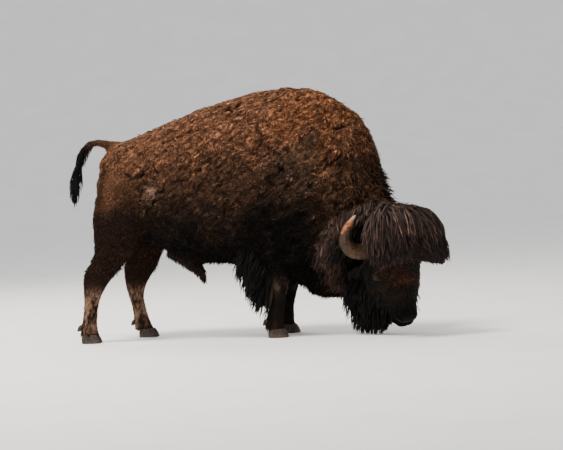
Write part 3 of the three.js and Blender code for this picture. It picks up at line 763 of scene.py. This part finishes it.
def tuft_faces(k):
    """Faces of one closed tuft: its base, rows of sides and a tip, from k - 1 rings of three points."""
    faces = [(0, 2, 1)]
    for low in range(0, 3 * (k - 2), 3):
        faces += [(low + c, low + (c + 1) % 3, low + 3 + (c + 1) % 3, low + 3 + c) for c in range(3)]
    last, tip = 3 * (k - 2), 3 * (k - 1)
    return faces + [(last + c, last + (c + 1) % 3, tip) for c in range(3)]


def tuft_mesh(name, co, faces):
    """A mesh of many tufts that share one list of faces, and the point of each of its loops."""
    n, per, _ = co.shape
    totals = np.tile([len(f) for f in faces], n)
    template = np.array([i for f in faces for i in f])
    loops = (np.arange(n)[:, None] * per + template[None]).ravel()
    starts = np.concatenate([[0], np.cumsum(totals)[:-1]])
    mesh = bpy.data.meshes.new(name)
    mesh.vertices.add(n * per)
    mesh.vertices.foreach_set("co", co.astype(np.float32).ravel())
    mesh.loops.add(len(loops))
    mesh.loops.foreach_set("vertex_index", loops.astype(np.int32))
    mesh.polygons.add(len(totals))
    mesh.polygons.foreach_set("loop_start", starts.astype(np.int32))
    smooth_shaded(mesh)
    mesh.update(calc_edges=True)
    return mesh, loops


def hair_piece(name, slot, paths, above, half, thick, colour, tip_highlight, uv):
    """Closed three-sided tufts along paths of k points, the last one the tip."""
    n, k, _ = paths.shape
    way = unit(np.gradient(paths, axis=1))
    across = unit(np.cross(above, way))
    above = np.cross(way, across)
    ring = paths[:, :-1]
    wide = across[:, :-1] * half[:, :-1, None]
    high = above[:, :-1] * thick[:, :-1, None]
    corners = np.stack([ring - wide, ring + wide, ring + high], 2).reshape(n, (k - 1) * 3, 3)
    co = np.concatenate([corners, paths[:, -1:]], 1)
    mesh, loops = tuft_mesh(name, co, tuft_faces(k))
    along = np.concatenate([np.repeat(np.linspace(0, 1, k)[:-1], 3), [1.0]])
    lateral = np.concatenate([np.tile([-1.0, 1.0, 0.0], k - 1), [0.0]])
    # each tuft is painted darker at its root, as shade among the hair, and lighter at its tip, as a
    # highlight
    shade = 0.45 + 0.55 * ramp(0.0, 0.55, along)
    rgb = colour[:, None, :] * shade[None, :, None]
    rgb = rgb * (1 + tip_highlight[:, None, None] * ramp(0.45, 1.0, along)[None, :, None])
    attribute(mesh, "coat_colour", "FLOAT_COLOR", with_alpha(rgb.reshape(-1, 3)))
    length = np.linalg.norm(np.diff(paths, axis=1), axis=2).sum(1)
    own = np.repeat((np.arange(n) * 0.37)[:, None], len(along), 1)
    strand = np.stack([lateral[None] * half.max(1)[:, None], along[None] * length[:, None], own], 2)
    attribute(mesh, "strand", "FLOAT_VECTOR", strand.reshape(-1, 3))
    point_uv = uv[:, None, :] + PATCH * np.stack([lateral * 0.5, along - 0.5], 1)[None]
    layer = mesh.uv_layers.new(name="OFBake")
    layer.data.foreach_set("uv", point_uv.reshape(-1, 2)[loops].astype(np.float32).ravel())
    finished(placed(name, mesh), slot)


def finished(obj, slot):
    """Gives a piece its material and hangs it under the root empty."""
    obj.data.materials.append(MATERIALS[slot])
    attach(obj, "root")


def hair(name, slot, paths, *rest):
    """Tufts as one piece, or as several numbered ones if they are too many for one."""
    each = 6 * (paths.shape[1] - 2) + 4
    pieces = math.ceil(len(paths) * each / PIECE_LIMIT)
    for i, part in enumerate(np.array_split(np.arange(len(paths)), pieces)):
        label = name if pieces == 1 else f"{name}_{i + 1}"
        hair_piece(label, slot, paths[part], *(values[part] for values in rest))


FLOOR_GAP = 0.004  # the least height of a lock's middle line


def profile(k, peak):
    """Widths along a tuft of k points: full at `peak` of its length, and a point at the tip."""
    s = np.linspace(0, 1, k)
    return np.where(s < peak, 0.7 + 0.3 * s / peak, ((1 - s) / (1 - peak)) ** 0.75)


def short_tufts(name, roots, length, width, thick, lift, curl,
                slot="dark_hair", k=3, tip=0.35, sink=0.003, mottle=0.2):
    """Tufts that lie along the body, each a little off its neighbours' way."""
    r = np.random.default_rng(roots.seed)
    n = roots.count
    length = length * r.uniform(0.75, 1.25, n)
    swing = r.normal(0, 0.28, n) + 0.5 * field(roots.at, 0.05, roots.seed + 1)
    side = np.cross(roots.normal, roots.lie)
    way = unit(roots.lie * np.cos(swing)[:, None] + side * np.sin(swing)[:, None])
    rise = np.clip(lift * r.uniform(0.5, 1.5, n) * (1 - 0.6 * roots.crack), 0, 1.2)
    out = unit(way * np.cos(rise)[:, None] + roots.normal * np.sin(rise)[:, None])
    side = np.cross(roots.normal, way)
    s = np.linspace(0, 1, k)[None, :, None]
    bend = (curl * r.normal(0, 1, n))[:, None, None] * s**2 * side[:, None]
    settle = -(0.55 * np.sin(rise))[:, None, None] * s**2 * roots.normal[:, None]
    start = roots.at - roots.normal * sink
    paths = start[:, None] + length[:, None, None] * (out[:, None] * s + bend + settle)
    grow = r.uniform(0.75, 1.25, n)
    half = (width / 2 * grow)[:, None] * profile(k, 0.2)[None]
    high = (thick * grow)[:, None] * profile(k, 0.2)[None]
    shade = np.exp(r.normal(0, mottle, n))[:, None]
    above = np.repeat(roots.normal[:, None], k, 1)
    # painted highlights on the tufts' tips
    tip_highlights = np.full(n, tip) * r.uniform(0.2, 1.8, n)
    hair(name, slot, paths, above, half, high, roots.colour * shade, tip_highlights, roots.uv)


def guides(roots, length, pull, hold, k, wave, cling, outward):
    """The middle lines of locks that follow the coat's way and sink with their weight, out of the skin."""
    r = np.random.default_rng(roots.seed)
    n = roots.count
    length = length * r.uniform(0.7, 1.2, n)
    step = length / (k - 1)
    swing = r.normal(0, 0.16, n) + 0.25 * field(roots.at, 0.07, roots.seed + 1)
    side = np.cross(roots.normal, roots.lie)
    way = unit(roots.lie + side * swing[:, None] + roots.normal * outward)
    at = roots.at - roots.normal * 0.004
    stand = hold * r.uniform(0.4, 1.3, n)
    track, above = [at], [roots.normal]
    turn = r.normal(0, wave, n)
    for j in range(1, k):
        way = unit(way + DOWN * pull + side * (turn * math.sin(2.2 * j))[:, None])
        at = at + way * step[:, None]
        spot, face, _ = nearest_on(skin_tree, at)
        gap = ((at - spot) * face).sum(1)
        level = stand * min(1, j / 2)
        down_to = cling * ramp(-0.3, 0.15, face[:, 2])
        need = np.clip(level - gap, 0, None) - down_to * np.clip(gap - level - 0.004, 0, None)
        near = ramp(0.08, 0.03, np.linalg.norm(at - spot, axis=1))
        at = at + face * (need * near)[:, None]
        way = unit(at - track[-1])
        track.append(at)
        above.append(unit(above[-1] * 0.5 + face * 0.5))
    return np.stack(track, 1), np.stack(above, 1)


def between_points(paths, row, reach):
    """Places on the chosen rows of paths, given as numbers of points along them, whole or not."""
    low = np.floor(reach).astype(int).clip(0, paths.shape[1] - 2)
    part = (reach - low)[:, :, None]
    row = row[:, None]
    return paths[row, low] * (1 - part) + paths[row, low + 1] * part


def within_outline(paths, spare, hem):
    """Paths cut short where they leave the CAD outline by more than `spare`, one number for each, or
    pass a hem."""
    n, k, _ = paths.shape
    outside = np.empty((n, k))
    for j in range(k):
        spot, face, _ = nearest_on(flesh_tree, paths[:, j])
        apart = paths[:, j] - spot
        outside[:, j] = np.sign((apart * face).sum(1)) * np.linalg.norm(apart, axis=1)
    over = outside > spare[:, None]
    if hem:
        over |= hem(paths)
    over[:, 0] = False
    first = np.where(over.any(1), over.argmax(1), k)
    last = np.clip(first - 0.5, 1.5, k - 1)
    reach = np.linspace(0, 1, k)[None] * np.where(first >= k, k - 1, last)[:, None]
    return between_points(paths, np.arange(n), reach)


def long_locks(name, roots, length, width, thick, pull, hold, slot="dark_hair", strands=4,
               radius=0.010, k=8, tip=0.5, wave=0.1, spare=0.014, contrast=0.25, peak=0.45,
               cling=0.3, outward=0.15, hem=None):
    """Locks of a few strands each, which gather towards the lock's tip.

    They weigh down by `pull` at each step, stand `hold` off the skin, `cling` back to it where it faces
    up, and pass the CAD outline by about `spare`.
    """
    paths, above = guides(roots, length, pull, hold, k, wave, cling, outward)
    r = np.random.default_rng(roots.seed + 5)
    n = roots.count
    paths = within_outline(paths, spare * r.uniform(0.2, 1.3, n), hem)
    lock_shade = r.normal(0, contrast, n)
    which = np.repeat(np.arange(n), strands)
    m = len(which)
    angle = r.uniform(0, 2 * math.pi, m)
    out = radius * np.sqrt(r.uniform(0, 1, m))
    s = np.linspace(0, 1, k)
    apart = (1 - 0.8 * s)[None, :, None]
    reach = np.clip(s[None] * r.uniform(0.7, 1.0, m)[:, None], 0, 1) * (k - 1)
    middle = between_points(paths, which, reach)
    over = above[which]
    across = unit(np.cross(over, unit(np.gradient(middle, axis=1))))
    middle = middle + across * (out * np.cos(angle))[:, None, None] * apart
    middle = middle + over * (0.45 * out * np.sin(angle))[:, None, None] * apart
    middle[:, :, 2] = np.maximum(middle[:, :, 2], FLOOR_GAP)
    grow = r.uniform(0.7, 1.3, m)
    half = (width / 2 * grow)[:, None] * profile(k, peak)[None]
    high = (thick * grow)[:, None] * profile(k, peak)[None]
    shade = np.exp(lock_shade[which] + r.normal(0, 0.2, m))[:, None]
    # painted highlights on the strands' tips, brighter on lighter locks
    tip_highlights = tip * r.uniform(0, 2, m) * np.clip(np.exp(2 * lock_shade[which]), 0, 2.5)
    hair(name, slot, middle, over, half, high, roots.colour[which] * shade, tip_highlights, roots.uv[which])


# --- materials


class Finish:
    """A procedural material: its shader, and short ways to add nodes and to join them to it."""

    def __init__(self, name, **sockets):
        self.material = bpy.data.materials.new(name)
        self.material.use_nodes = True
        self.tree = self.material.node_tree
        self.shader = self.tree.nodes["Principled BSDF"]
        for key, value in sockets.items():
            self.shader.inputs[key.replace("_", " ")].default_value = value

    def node(self, kind, sources, **settings):
        """A node with its settings or plain inputs, and with sources joined to its other inputs."""
        made = self.tree.nodes.new("ShaderNode" + kind)
        for key, value in settings.items():
            if key in made.inputs:
                made.inputs[key].default_value = value
            else:
                setattr(made, key, value)
        for socket, source in sources.items():
            self.tree.links.new(source, made.inputs[socket])
        return made

    def attribute(self, name, output):
        return self.node("Attribute", {}, attribute_name=name).outputs[output]

    def place(self):
        return self.node("TexCoord", {}).outputs["Object"]

    def noise(self, where, **settings):
        return self.node("TexNoise", {"Vector": where}, **settings).outputs["Fac"]

    def product(self, a, b):
        return self.node("Math", {0: a, 1: b}, operation="MULTIPLY").outputs[0]

    def tinted(self, colour, value, span, result):
        """A colour made lighter or darker as a value goes from one end of its span to the other."""
        reach = self.node("MapRange", {"Value": value})
        for key, number in zip(("From Min", "From Max", "To Min", "To Max"), (*span, *result)):
            reach.inputs[key].default_value = number
        return self.node(
            "VectorMath", {0: colour, "Scale": reach.outputs["Result"]}, operation="SCALE"
        ).outputs[0]

    def bump(self, height, strength, distance, over=None):
        sources = {"Height": height} if over is None else {"Height": height, "Normal": over}
        return self.node("Bump", sources, Strength=strength, Distance=distance).outputs["Normal"]

    def done(self, colour, normal):
        self.tree.links.new(colour, self.shader.inputs["Base Color"])
        self.tree.links.new(normal, self.shader.inputs["Normal"])
        return self.material


GRAIN_SPAN = (0.12, 0.40)  # between which the product of two noises mostly lies


def coat_material(name, rough, gloss, low, high):
    """Hair: the coat's own colour, streaked along each tuft and mottled over the body."""
    f = Finish(name, Roughness=rough, Specular_IOR_Level=gloss)
    drawn_out = f.node("VectorMath", {0: f.attribute("strand", "Vector")}, operation="MULTIPLY")
    drawn_out.inputs[1].default_value = (6.0, 0.35, 1.0)
    streak = f.noise(drawn_out.outputs[0], Scale=260.0, Detail=3.0)
    mottle = f.noise(f.place(), Scale=60.0, Detail=3.0)
    own = f.attribute("coat_colour", "Color")
    tint = f.tinted(own, f.product(streak, mottle), GRAIN_SPAN, (low, high))
    return f.done(tint, f.bump(streak, 0.35, 0.002))


def skin_material(name):
    """Skin under the coat: the same colours, with the grain of short flat hair, curled in the wool."""
    f = Finish(name, Roughness=0.8, Specular_IOR_Level=0.06)
    where = f.place()
    grain = f.noise(where, Scale=210.0, Detail=4.0)
    patches = f.noise(where, Scale=30.0, Detail=4.0)
    curls = f.noise(where, Scale=75.0, Detail=3.0, Distortion=1.2)
    woolly = f.attribute("woolly", "Fac")
    own = f.attribute("coat_colour", "Color")
    plain = f.tinted(own, f.product(grain, patches), GRAIN_SPAN, (0.45, 1.1))
    # the curls are painted darker where their bump is low and lighter where it is high: shade in the wool's
    # hollows, light on its crests
    curled = f.tinted(plain, curls, (0.38, 0.64), (0.3, 1.7))
    either = f.node("Mix", {}, data_type="RGBA")
    for socket, source in (("Factor", woolly), (6, plain), (7, curled)):
        f.tree.links.new(source, either.inputs[socket])
    fine = f.bump(grain, 0.6, 0.003)
    return f.done(either.outputs[2], f.bump(f.product(curls, woolly), 0.8, 0.012, fine))


def worn_material(name, scale, bump, **sockets):
    """Horn, hoof and eye: the piece's own colours, mottled and scratched a little."""
    f = Finish(name, **sockets)
    noise = f.noise(f.place(), Scale=scale, Detail=6.0)
    tint = f.tinted(f.attribute("coat_colour", "Color"), noise, (0.3, 0.7), (0.6, 1.35))
    return f.done(tint, f.bump(noise, bump, 0.002))


def floor_material(name, dark, light):
    """A plain floor: two near colours mixed by a broad noise."""
    f = Finish(name, Roughness=0.9)
    noise = f.noise(f.place(), Scale=2.0, Detail=5.0)
    mix = f.node("ValToRGB", {"Fac": noise})
    for stop, rgb, position in zip(mix.color_ramp.elements, (dark, light), (0.35, 0.68)):
        stop.color = (*rgb, 1)
        stop.position = position
    return f.done(mix.outputs["Color"], f.bump(noise, 0.0, 0.003))


EYE_IOR = 1.33  # hair all round the eye keeps most of the sky out of its shine
MATERIALS = {
    "wool": coat_material("wool", 0.95, 0.05, 0.32, 1.6),
    "dark_hair": coat_material("dark_hair", 0.55, 0.16, 0.5, 1.35),
    "leg_hair": coat_material("leg_hair", 0.9, 0.08, 0.5, 1.3),
    "horn": worn_material("horn", 60.0, 0.4, Roughness=0.55, Specular_IOR_Level=0.3),
    "hoof": worn_material("hoof", 90.0, 0.5, Roughness=0.75),
    "eye": worn_material("eye", 200.0, 0.0, Roughness=0.07, IOR=EYE_IOR),
}
skin.materials.append(skin_material("skin"))
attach(skin_object, "root")

# --- horns, hooves and eyes


def fine_copy(node_name, voxel, smooth):
    """A fine smooth copy of a CAD node, as a mesh with its points and normals."""
    bm = bmesh.new()
    bm.from_mesh(NODES[node_name].data)
    bmesh.ops.remove_doubles(bm, verts=bm.verts, dist=1e-6)
    plain = bpy.data.meshes.new(node_name)
    bm.to_mesh(plain)
    bm.free()
    mesh = remeshed(plain, voxel)
    p = relaxed(points_of(mesh), edges_of(mesh), smooth)
    set_points(mesh, p)
    return mesh, p, normals_of(mesh)


def hard_piece(mesh, p, rgb, node_name, slot):
    set_points(mesh, p)
    attribute(mesh, "coat_colour", "FLOAT_COLOR", with_alpha(rgb))
    smooth_shaded(mesh)
    mesh.name = f"{node_name}_fine"
    obj = placed(mesh.name, mesh)
    finished(obj, slot)
    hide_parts(node_name)


HORN_TAN = tone("4a2f17")
HORN_DARK = tone("1d1713")
HORN_PEACH = tone("9a5c38")
HORN_GREY = tone("988c82")
HOOF_DARK, HOOF_DUSTY = tone("1a1411"), tone("4a382b")
EYE_RIM, IRIS, PUPIL = tone("0a0706"), tone("1a0f09"), tone("030303")
HORN_BEND = np.array([0.19, 0.33])  # the middle of a horn's curve, out from the head's middle and up


def horn(side):
    """A worn horn: tan below, stained dark, peach above, grey at the tip, with growth rings at its base and
    painted shade on the inner side of its curve.
    """
    name = sided("horn", side)
    mesh, p, n = fine_copy(name, 0.0045, 8)
    q = in_head(p)
    bend_y, bend_z = side * q[:, 1] - HORN_BEND[0], q[:, 2] - HORN_BEND[1]
    along = np.clip((np.degrees(np.arctan2(bend_z, bend_y)) + 120) / 202, 0, 1.05)
    rings = np.sin(along * 150 + 0.8 * field(p, 0.05, 61)) * ramp(0.55, 0.2, along)
    scratches = field(p * (1, 1, 0.5), 0.006, 62)
    p = p + n * (0.0009 * rings + 0.0003 * scratches)[:, None]
    stains = ramp(0.0, 0.5, field(p, 0.022, 63) + 0.6 * field(p, 0.009, 64))
    stained_tan = ramp(0.05, 0.25, along) * (0.65 + 0.35 * ramp(-1, 1, field(p, 0.05, 65)))
    rgb = mixed(HORN_DARK, HORN_TAN, stained_tan)
    # painted shade on the inner side of the horn's curve
    middle = np.interp(along, (0.2, 0.8), (0.135, 0.105))
    inner_shade = ramp(0.0, -0.03, np.hypot(bend_z, bend_y) - middle + 0.006 * field(p, 0.03, 69))
    rgb = mixed(rgb, HORN_DARK, 0.8 * inner_shade * ramp(0.72, 0.6, along))
    specks = ramp(0.6, 1.4, field(p * (1, 1, 0.6), 0.006, 67) + 0.4 * field(p, 0.02, 68))
    rgb = mixed(rgb, HORN_DARK, 0.8 * specks * ramp(0.7, 0.5, along))
    rgb = mixed(rgb, HORN_PEACH, ramp(0.62, 0.74, along + 0.02 * field(p, 0.02, 66)))
    rgb = mixed(rgb, HORN_DARK, 0.85 * stains * ramp(0.35, 0.5, along) * ramp(0.86, 0.74, along))
    rgb = mixed(rgb, HORN_GREY, ramp(0.84, 0.93, along))
    hard_piece(mesh, p, rgb, name, "horn")


def hoof(node_name):
    """A claw or dewclaw: dull dark horn with growth lines and dusty lower edges."""
    mesh, p, n = fine_copy(node_name, 0.0042, 10)
    base = float(np.min(p[:, 2]))
    lines = np.sin(p[:, 2] * 700 + 0.8 * field(p, 0.02, 71))
    standing = ramp(0.004, 0.012, p[:, 2] - base)
    p = p + n * (0.0004 * lines * standing)[:, None]
    p[:, 2] = np.maximum(p[:, 2], 0.0)
    streaks = ramp(-1.2, 1.6, field(p * (1, 1, 0.3), 0.010, 72) + 0.5 * np.sin(p[:, 2] * 350))
    dust = np.clip(0.5 * streaks + 0.6 * ramp(0.035, 0.0, p[:, 2] + 0.006 * field(p, 0.02, 73)), 0, 1)
    hard_piece(mesh, p, mixed(HOOF_DARK, HOOF_DUSTY, dust), node_name, "hoof")


def eye(side):
    """A wet eye: a dark pupil lying level, a brown iris and a dark rim."""
    at, axes = eye_frame(side)
    name = sided("eye", side)
    bm = bmesh.new()
    bmesh.ops.create_icosphere(bm, subdivisions=5, radius=EYE_RADIUS - 0.0003)
    bmesh.ops.translate(bm, verts=bm.verts, vec=at)
    mesh = bpy.data.meshes.new(name)
    bm.to_mesh(mesh)
    bm.free()
    p = points_of(mesh)
    a, b, w = ((p - at) @ axes.T).T
    pupil = ramp(1.15, 0.95, np.hypot(a / 0.0085, b / 0.0050)) * (w > 0)
    iris = ramp(1.08, 0.96, np.hypot(a, b) / 0.0135) * (w > 0)
    rgb = mixed(EYE_RIM, IRIS, iris * (0.7 + 0.3 * ramp(-1, 1, field(p, 0.003, 81))))
    rgb = mixed(rgb, PUPIL, pupil)
    hard_piece(mesh, p, rgb, name, "eye")


for side in (LEFT, RIGHT):
    horn(side)
    eye(side)
for node_name in sorted(n for n in NODES if "claw_" in n):
    hoof(node_name)

# --- the coat, region by region


def mainly(part):
    """Where a share of the skin is more than about half."""
    return ramp(0.3, 0.7, part)


haired = ramp(0.004, 0.009, from_eye) * (1 - naked)
height = points[:, 2]
bulk = (wool + part_of("thigh") * ramp(0.42, 0.52, height)) * (1 - 0.8 * ruff)
bare_face = mainly(part_of("head", "jaw", "ear", "muzzle")) * haired


def wool_length(roots):
    """Longer on the neck, low on the body, under it and along the crest; shorter beside the cracks."""
    front = ramp(0.30, 0.75, roots.at[:, 0])
    low = ramp(0.95, 0.6, roots.at[:, 2])
    under = ramp(0.1, 0.8, -roots.normal[:, 2]) * ramp(0.75, 0.5, roots.at[:, 2])
    crest = ramp(0.4, 0.8, roots.at[:, 0]) * ramp(0.2, 0.7, roots.normal[:, 0])
    parted = creases(roots.at + 0.016 * roots.lie) * ramp(0.62, 0.9, roots.at[:, 2])
    return (0.026 + 0.010 * front + 0.010 * low + 0.022 * under + 0.014 * crest) * (1 - 0.55 * parted)


def from_features(roots):
    """0 beside the eyes and on the muzzle, 1 away from them."""
    return ramp(0.01, 0.07, roots.read(from_eye)) * ramp(-0.33, -0.22, in_head(roots.at)[:, 2])


def grow(kind, name, weight, spacing, seed, length, width, thick, **form):
    """One kind of hair where its weight is high; its length may be a function of its roots."""
    roots = scattered(weight, spacing, seed)
    kind(f"coat_{name}", roots, length(roots) if callable(length) else length, width, thick, **form)


def fine_length(roots):
    return 0.66 * wool_length(roots)


def face_length(roots):
    return 0.010 + 0.016 * from_features(roots)


def down_length(roots):
    return 0.008 + 0.012 * from_features(roots)


grow(short_tufts, "body", mainly(bulk), 0.0160, 101, wool_length, 0.0080, 0.0036,
     lift=0.50, curl=0.34, slot="wool", mottle=0.5, tip=0.55)
grow(short_tufts, "fine", mainly(np.maximum(bulk, ruff)), 0.0099, 117, fine_length, 0.0060, 0.0030,
     lift=0.5, curl=0, slot="wool", k=2, mottle=0.5, tip=0.8)
thighs = mainly(part_of("thigh", "tail", "scrotum") * (1 - bulk))
grow(short_tufts, "thighs", thighs, 0.0095, 102, 0.028, 0.007, 0.003, lift=0.35, curl=0.18, slot="leg_hair")
grow(short_tufts, "shanks", mainly(part_of("shank")), 0.0095, 103, 0.018, 0.0046, 0.002,
     lift=0.34, curl=0.12, slot="leg_hair", sink=0.001, mottle=0.25)
grow(short_tufts, "face", bare_face, 0.0100, 104, face_length, 0.0056, 0.0022,
     lift=0.30, curl=0.28, mottle=0.3)
grow(short_tufts, "down", bare_face, 0.0062, 118, down_length, 0.0046, 0.0018,
     lift=0.28, curl=0, k=2, mottle=0.3)

cheeks = ramp(0.02, -0.05, local[:, 0]) * ramp(-0.30, -0.24, local[:, 2]) * ramp(0.075, 0.12, from_eye)
grow(long_locks, "cheeks", mainly(part_of("head", "jaw", "ear")) * cheeks, 0.028, 109, 0.085, 0.0045, 0.0022,
     pull=0.30, hold=0.012, k=6, wave=0.2, spare=0.03)


def mop_edge(y):
    """Height of the mop's lower edge across the head: an arch over the left half of the forehead."""
    return 0.052 + 0.078 * np.exp(-(((y - ARCH_AT) / ARCH_HALF) ** 4)) - 0.05 * ramp(0.17, 0.22, y)


def below_mop(paths):
    q = in_head(paths)
    y = q[..., 1]
    ragged = 0.012 * field(paths.reshape(-1, 3) * (1, 1, 0.1), 0.02, 59).reshape(y.shape)
    return q[..., 2] < mop_edge(y) + ragged


mop = scattered(mainly(part_of("mop")) * (0.45 + 0.55 * ramp(0.32, 0.1, from_crown)), 0.0212, 105)
mop_length = np.clip(0.43 - np.linalg.norm(from_parting(mop.at), axis=1), 0.13, 0.40)
mop_spare = 0.016 + 0.034 * ramp(0.13, 0.19, in_head(mop.at)[:, 1])
long_locks("coat_mop", mop, mop_length, 0.0046, 0.0026, pull=0.07, hold=0.016, strands=5, radius=0.009,
           tip=0.9, wave=0.14, spare=mop_spare, contrast=0.40, peak=0.6, cling=0.8, hem=below_mop)
under_mop = ramp(0.10, 0.06, local[:, 2] - mop_edge(local[:, 1])) * part_of("mop")
grow(short_tufts, "under_mop", ramp(0.2, 0.6, under_mop), 0.0105, 119, 0.026, 0.0062, 0.0028,
     lift=0.35, curl=0.3, mottle=0.3)
crown = ramp(0.15, 0.08, from_crown) * part_of("mop", "head", "neck")
grow(long_locks, "crown", ramp(0.1, 0.6, crown), 0.0162, 114, 0.06, 0.0045, 0.0024,
     pull=0.02, hold=0.01, k=5, wave=0.5, spare=0.03, cling=0, outward=0.7)
grow(long_locks, "beard", mainly(part_of("beard")), 0.0232, 106, 0.15, 0.0055, 0.0026,
     pull=0.25, hold=0.03, k=7, wave=0.2, spare=0.03, outward=0.35, cling=0.1)
grow(long_locks, "ruff", ramp(0.35, 0.7, ruff), 0.0262, 110, 0.13, 0.0052, 0.0026,
     pull=0.22, hold=0.014, k=7, wave=0.2, contrast=0.22, tip=0.3, cling=0.6)
grow(long_locks, "chaps", mainly(part_of("chap")), 0.0240, 107, 0.16, 0.0055, 0.0026,
     pull=0.18, hold=0.022, k=7, wave=0.2, spare=0.045, cling=0.1)
crest = ramp(1.20, 1.10, height) * ramp(0.86, 0.94, height) * ramp(0.45, 0.8, normals[:, 0])
grow(long_locks, "crest", mainly(crest * part_of("neck")), 0.026, 113, 0.075, 0.0055, 0.0026,
     pull=0.05, hold=0.02, k=6, spare=0.05, cling=0, outward=0.9)
belly = ramp(0.4, 0.8, -normals[:, 2]) * ramp(0.64, 0.56, height) * ramp(-0.50, -0.42, points[:, 0])
grow(long_locks, "belly", ramp(0.2, 0.6, belly * part_of("trunk")), 0.034, 115, 0.055, 0.006, 0.0026,
     pull=0.3, hold=0.01, slot="wool", k=5, wave=0.3, spare=0.03, cling=0, outward=0.5)
hanging = mainly(part_of("tail") * ramp(-1.13, -1.19, points[:, 0]))
grow(long_locks, "tail", hanging, 0.014, 116, 0.09, 0.0045, 0.0022,
     pull=0.3, hold=0.008, k=6, strands=3, spare=0.02, outward=0.3)
grow(long_locks, "tail_tuft", mainly(part_of("tuft")), 0.018, 108, 0.18, 0.0045, 0.0022,
     pull=0.3, hold=0.014, k=7)
grow(long_locks, "sheath", mainly(part_of("sheath")), 0.018, 111, 0.05, 0.005, 0.0022,
     pull=0.4, hold=0.008, k=5, spare=0.012)
coronet = ramp(0.105, 0.085, height) * ramp(0.5, 0.1, -normals[:, 2]) * part_of("shank")
grow(short_tufts, "coronets", ramp(0.2, 0.6, coronet), 0.0085, 120, 0.026, 0.0052, 0.002,
     lift=0.4, curl=0.12, slot="leg_hair", mottle=0.25)
rear = ramp(0.17, 0.13, height) * ramp(0.05, 0.09, height) * ramp(0.0, 0.5, -normals[:, 0])
grow(long_locks, "fetlocks", rear * part_of("shank"), 0.0135, 112, 0.05, 0.004, 0.002,
     pull=0.4, hold=0.006, slot="leg_hair", k=5, strands=3, radius=0.006, spare=0.03)

# --- floor, light and camera

SWEEP_FLAT, SWEEP_CURVE, SWEEP_TOP = 22.0, 14.0, 26.0  # a level floor that curves up all round
SWEEP_STEPS, SWEEP_SIDES = 24, 96
slope = [math.pi / 2 * i / SWEEP_STEPS for i in range(SWEEP_STEPS + 1)]
curve = [(SWEEP_FLAT + SWEEP_CURVE * math.sin(a), SWEEP_CURVE * (1 - math.cos(a))) for a in slope]
bm = bmesh.new()
outline = [(0.0, 0.0), *curve, (SWEEP_FLAT + SWEEP_CURVE, SWEEP_TOP)]
ends = [bm.verts.new((radius, 0, z)) for radius, z in outline]
spine = [bm.edges.new(pair) for pair in zip(ends, ends[1:])]
full = dict(cent=(0, 0, 0), axis=(0, 0, 1), angle=2 * math.pi, steps=SWEEP_SIDES, use_merge=True)
bmesh.ops.spin(bm, geom=ends + spine, **full)
bmesh.ops.remove_doubles(bm, verts=bm.verts, dist=1e-4)
bmesh.ops.recalc_face_normals(bm, faces=bm.faces)
if bm.faces[0].normal.z < 0:
    bmesh.ops.reverse_faces(bm, faces=bm.faces)
floor_mesh = bpy.data.meshes.new("floor")
bm.to_mesh(floor_mesh)
bm.free()
smooth_shaded(floor_mesh)
floor = placed("floor", floor_mesh)
floor_mesh.materials.append(floor_material("floor", (0.86, 0.855, 0.84), (0.90, 0.895, 0.88)))

HORIZON, ZENITH = (0.56, 0.56, 0.56), (1.0, 1.02, 1.05)
world = bpy.data.worlds.new("studio")
world.use_nodes = True
sky = world.node_tree.nodes
sky_link = world.node_tree.links.new
toward = sky.new("ShaderNodeTexCoord")
parts_of = sky.new("ShaderNodeSeparateXYZ")
dome = sky.new("ShaderNodeValToRGB")
for stop, rgb, position in zip(dome.color_ramp.elements, (HORIZON, ZENITH), (0.0, 0.5)):
    stop.position = position
    stop.color = (*rgb, 1)
sky_link(toward.outputs["Generated"], parts_of.inputs[0])
sky_link(parts_of.outputs["Z"], dome.inputs["Fac"])
sky_link(dome.outputs["Color"], sky["Background"].inputs["Color"])
sky["Background"].inputs["Strength"].default_value = 1.0
bpy.context.scene.world = world
LIT_AT = Vector((0.1, 0, 0.9))  # what every light is turned to


def area_light(name, position, size, power, colour):
    data = bpy.data.lights.new(name, "AREA")
    data.size, data.energy, data.color = size, power, colour
    obj = placed(name, data)
    obj.location = position
    obj.rotation_mode = "QUATERNION"
    obj.rotation_quaternion = (LIT_AT - Vector(position)).to_track_quat("-Z", "Y")


area_light("key", (-2.5, -2.0, 7.5), 2.5, 900, (1.0, 0.93, 0.84))
area_light("rim", (-4.0, 4.0, 5.0), 3.0, 300, (1.0, 0.92, 0.82))
area_light("face", (-3.0, -5.5, 3.2), 1.4, 70, (1.0, 0.95, 0.9))

AZIMUTH, ELEVATION, ROLL = math.radians(8), math.radians(2), math.radians(2.5)
DISTANCE = 14.8
FRAME_WIDTH = 3.941
SENSOR_WIDTH = 36.0
TARGET = Vector((0.1644, 0.1428, 0.771))

reach = math.cos(ELEVATION)
back = Vector((math.sin(AZIMUTH) * reach, -math.cos(AZIMUTH) * reach, math.sin(ELEVATION)))
level_right = Vector((math.cos(AZIMUTH), math.sin(AZIMUTH), 0))
level_up = back.cross(level_right)
right = math.cos(ROLL) * level_right - math.sin(ROLL) * level_up
up = math.sin(ROLL) * level_right + math.cos(ROLL) * level_up
camera_data = bpy.data.cameras.new("camera")
camera_data.sensor_width = SENSOR_WIDTH
camera_data.lens = SENSOR_WIDTH * DISTANCE / FRAME_WIDTH
camera_data.clip_end = 200
camera = placed("camera", camera_data)
turn = Matrix((right, up, back)).transposed().to_4x4()
camera.matrix_world = Matrix.Translation(TARGET + back * DISTANCE) @ turn
bpy.context.scene.camera = camera
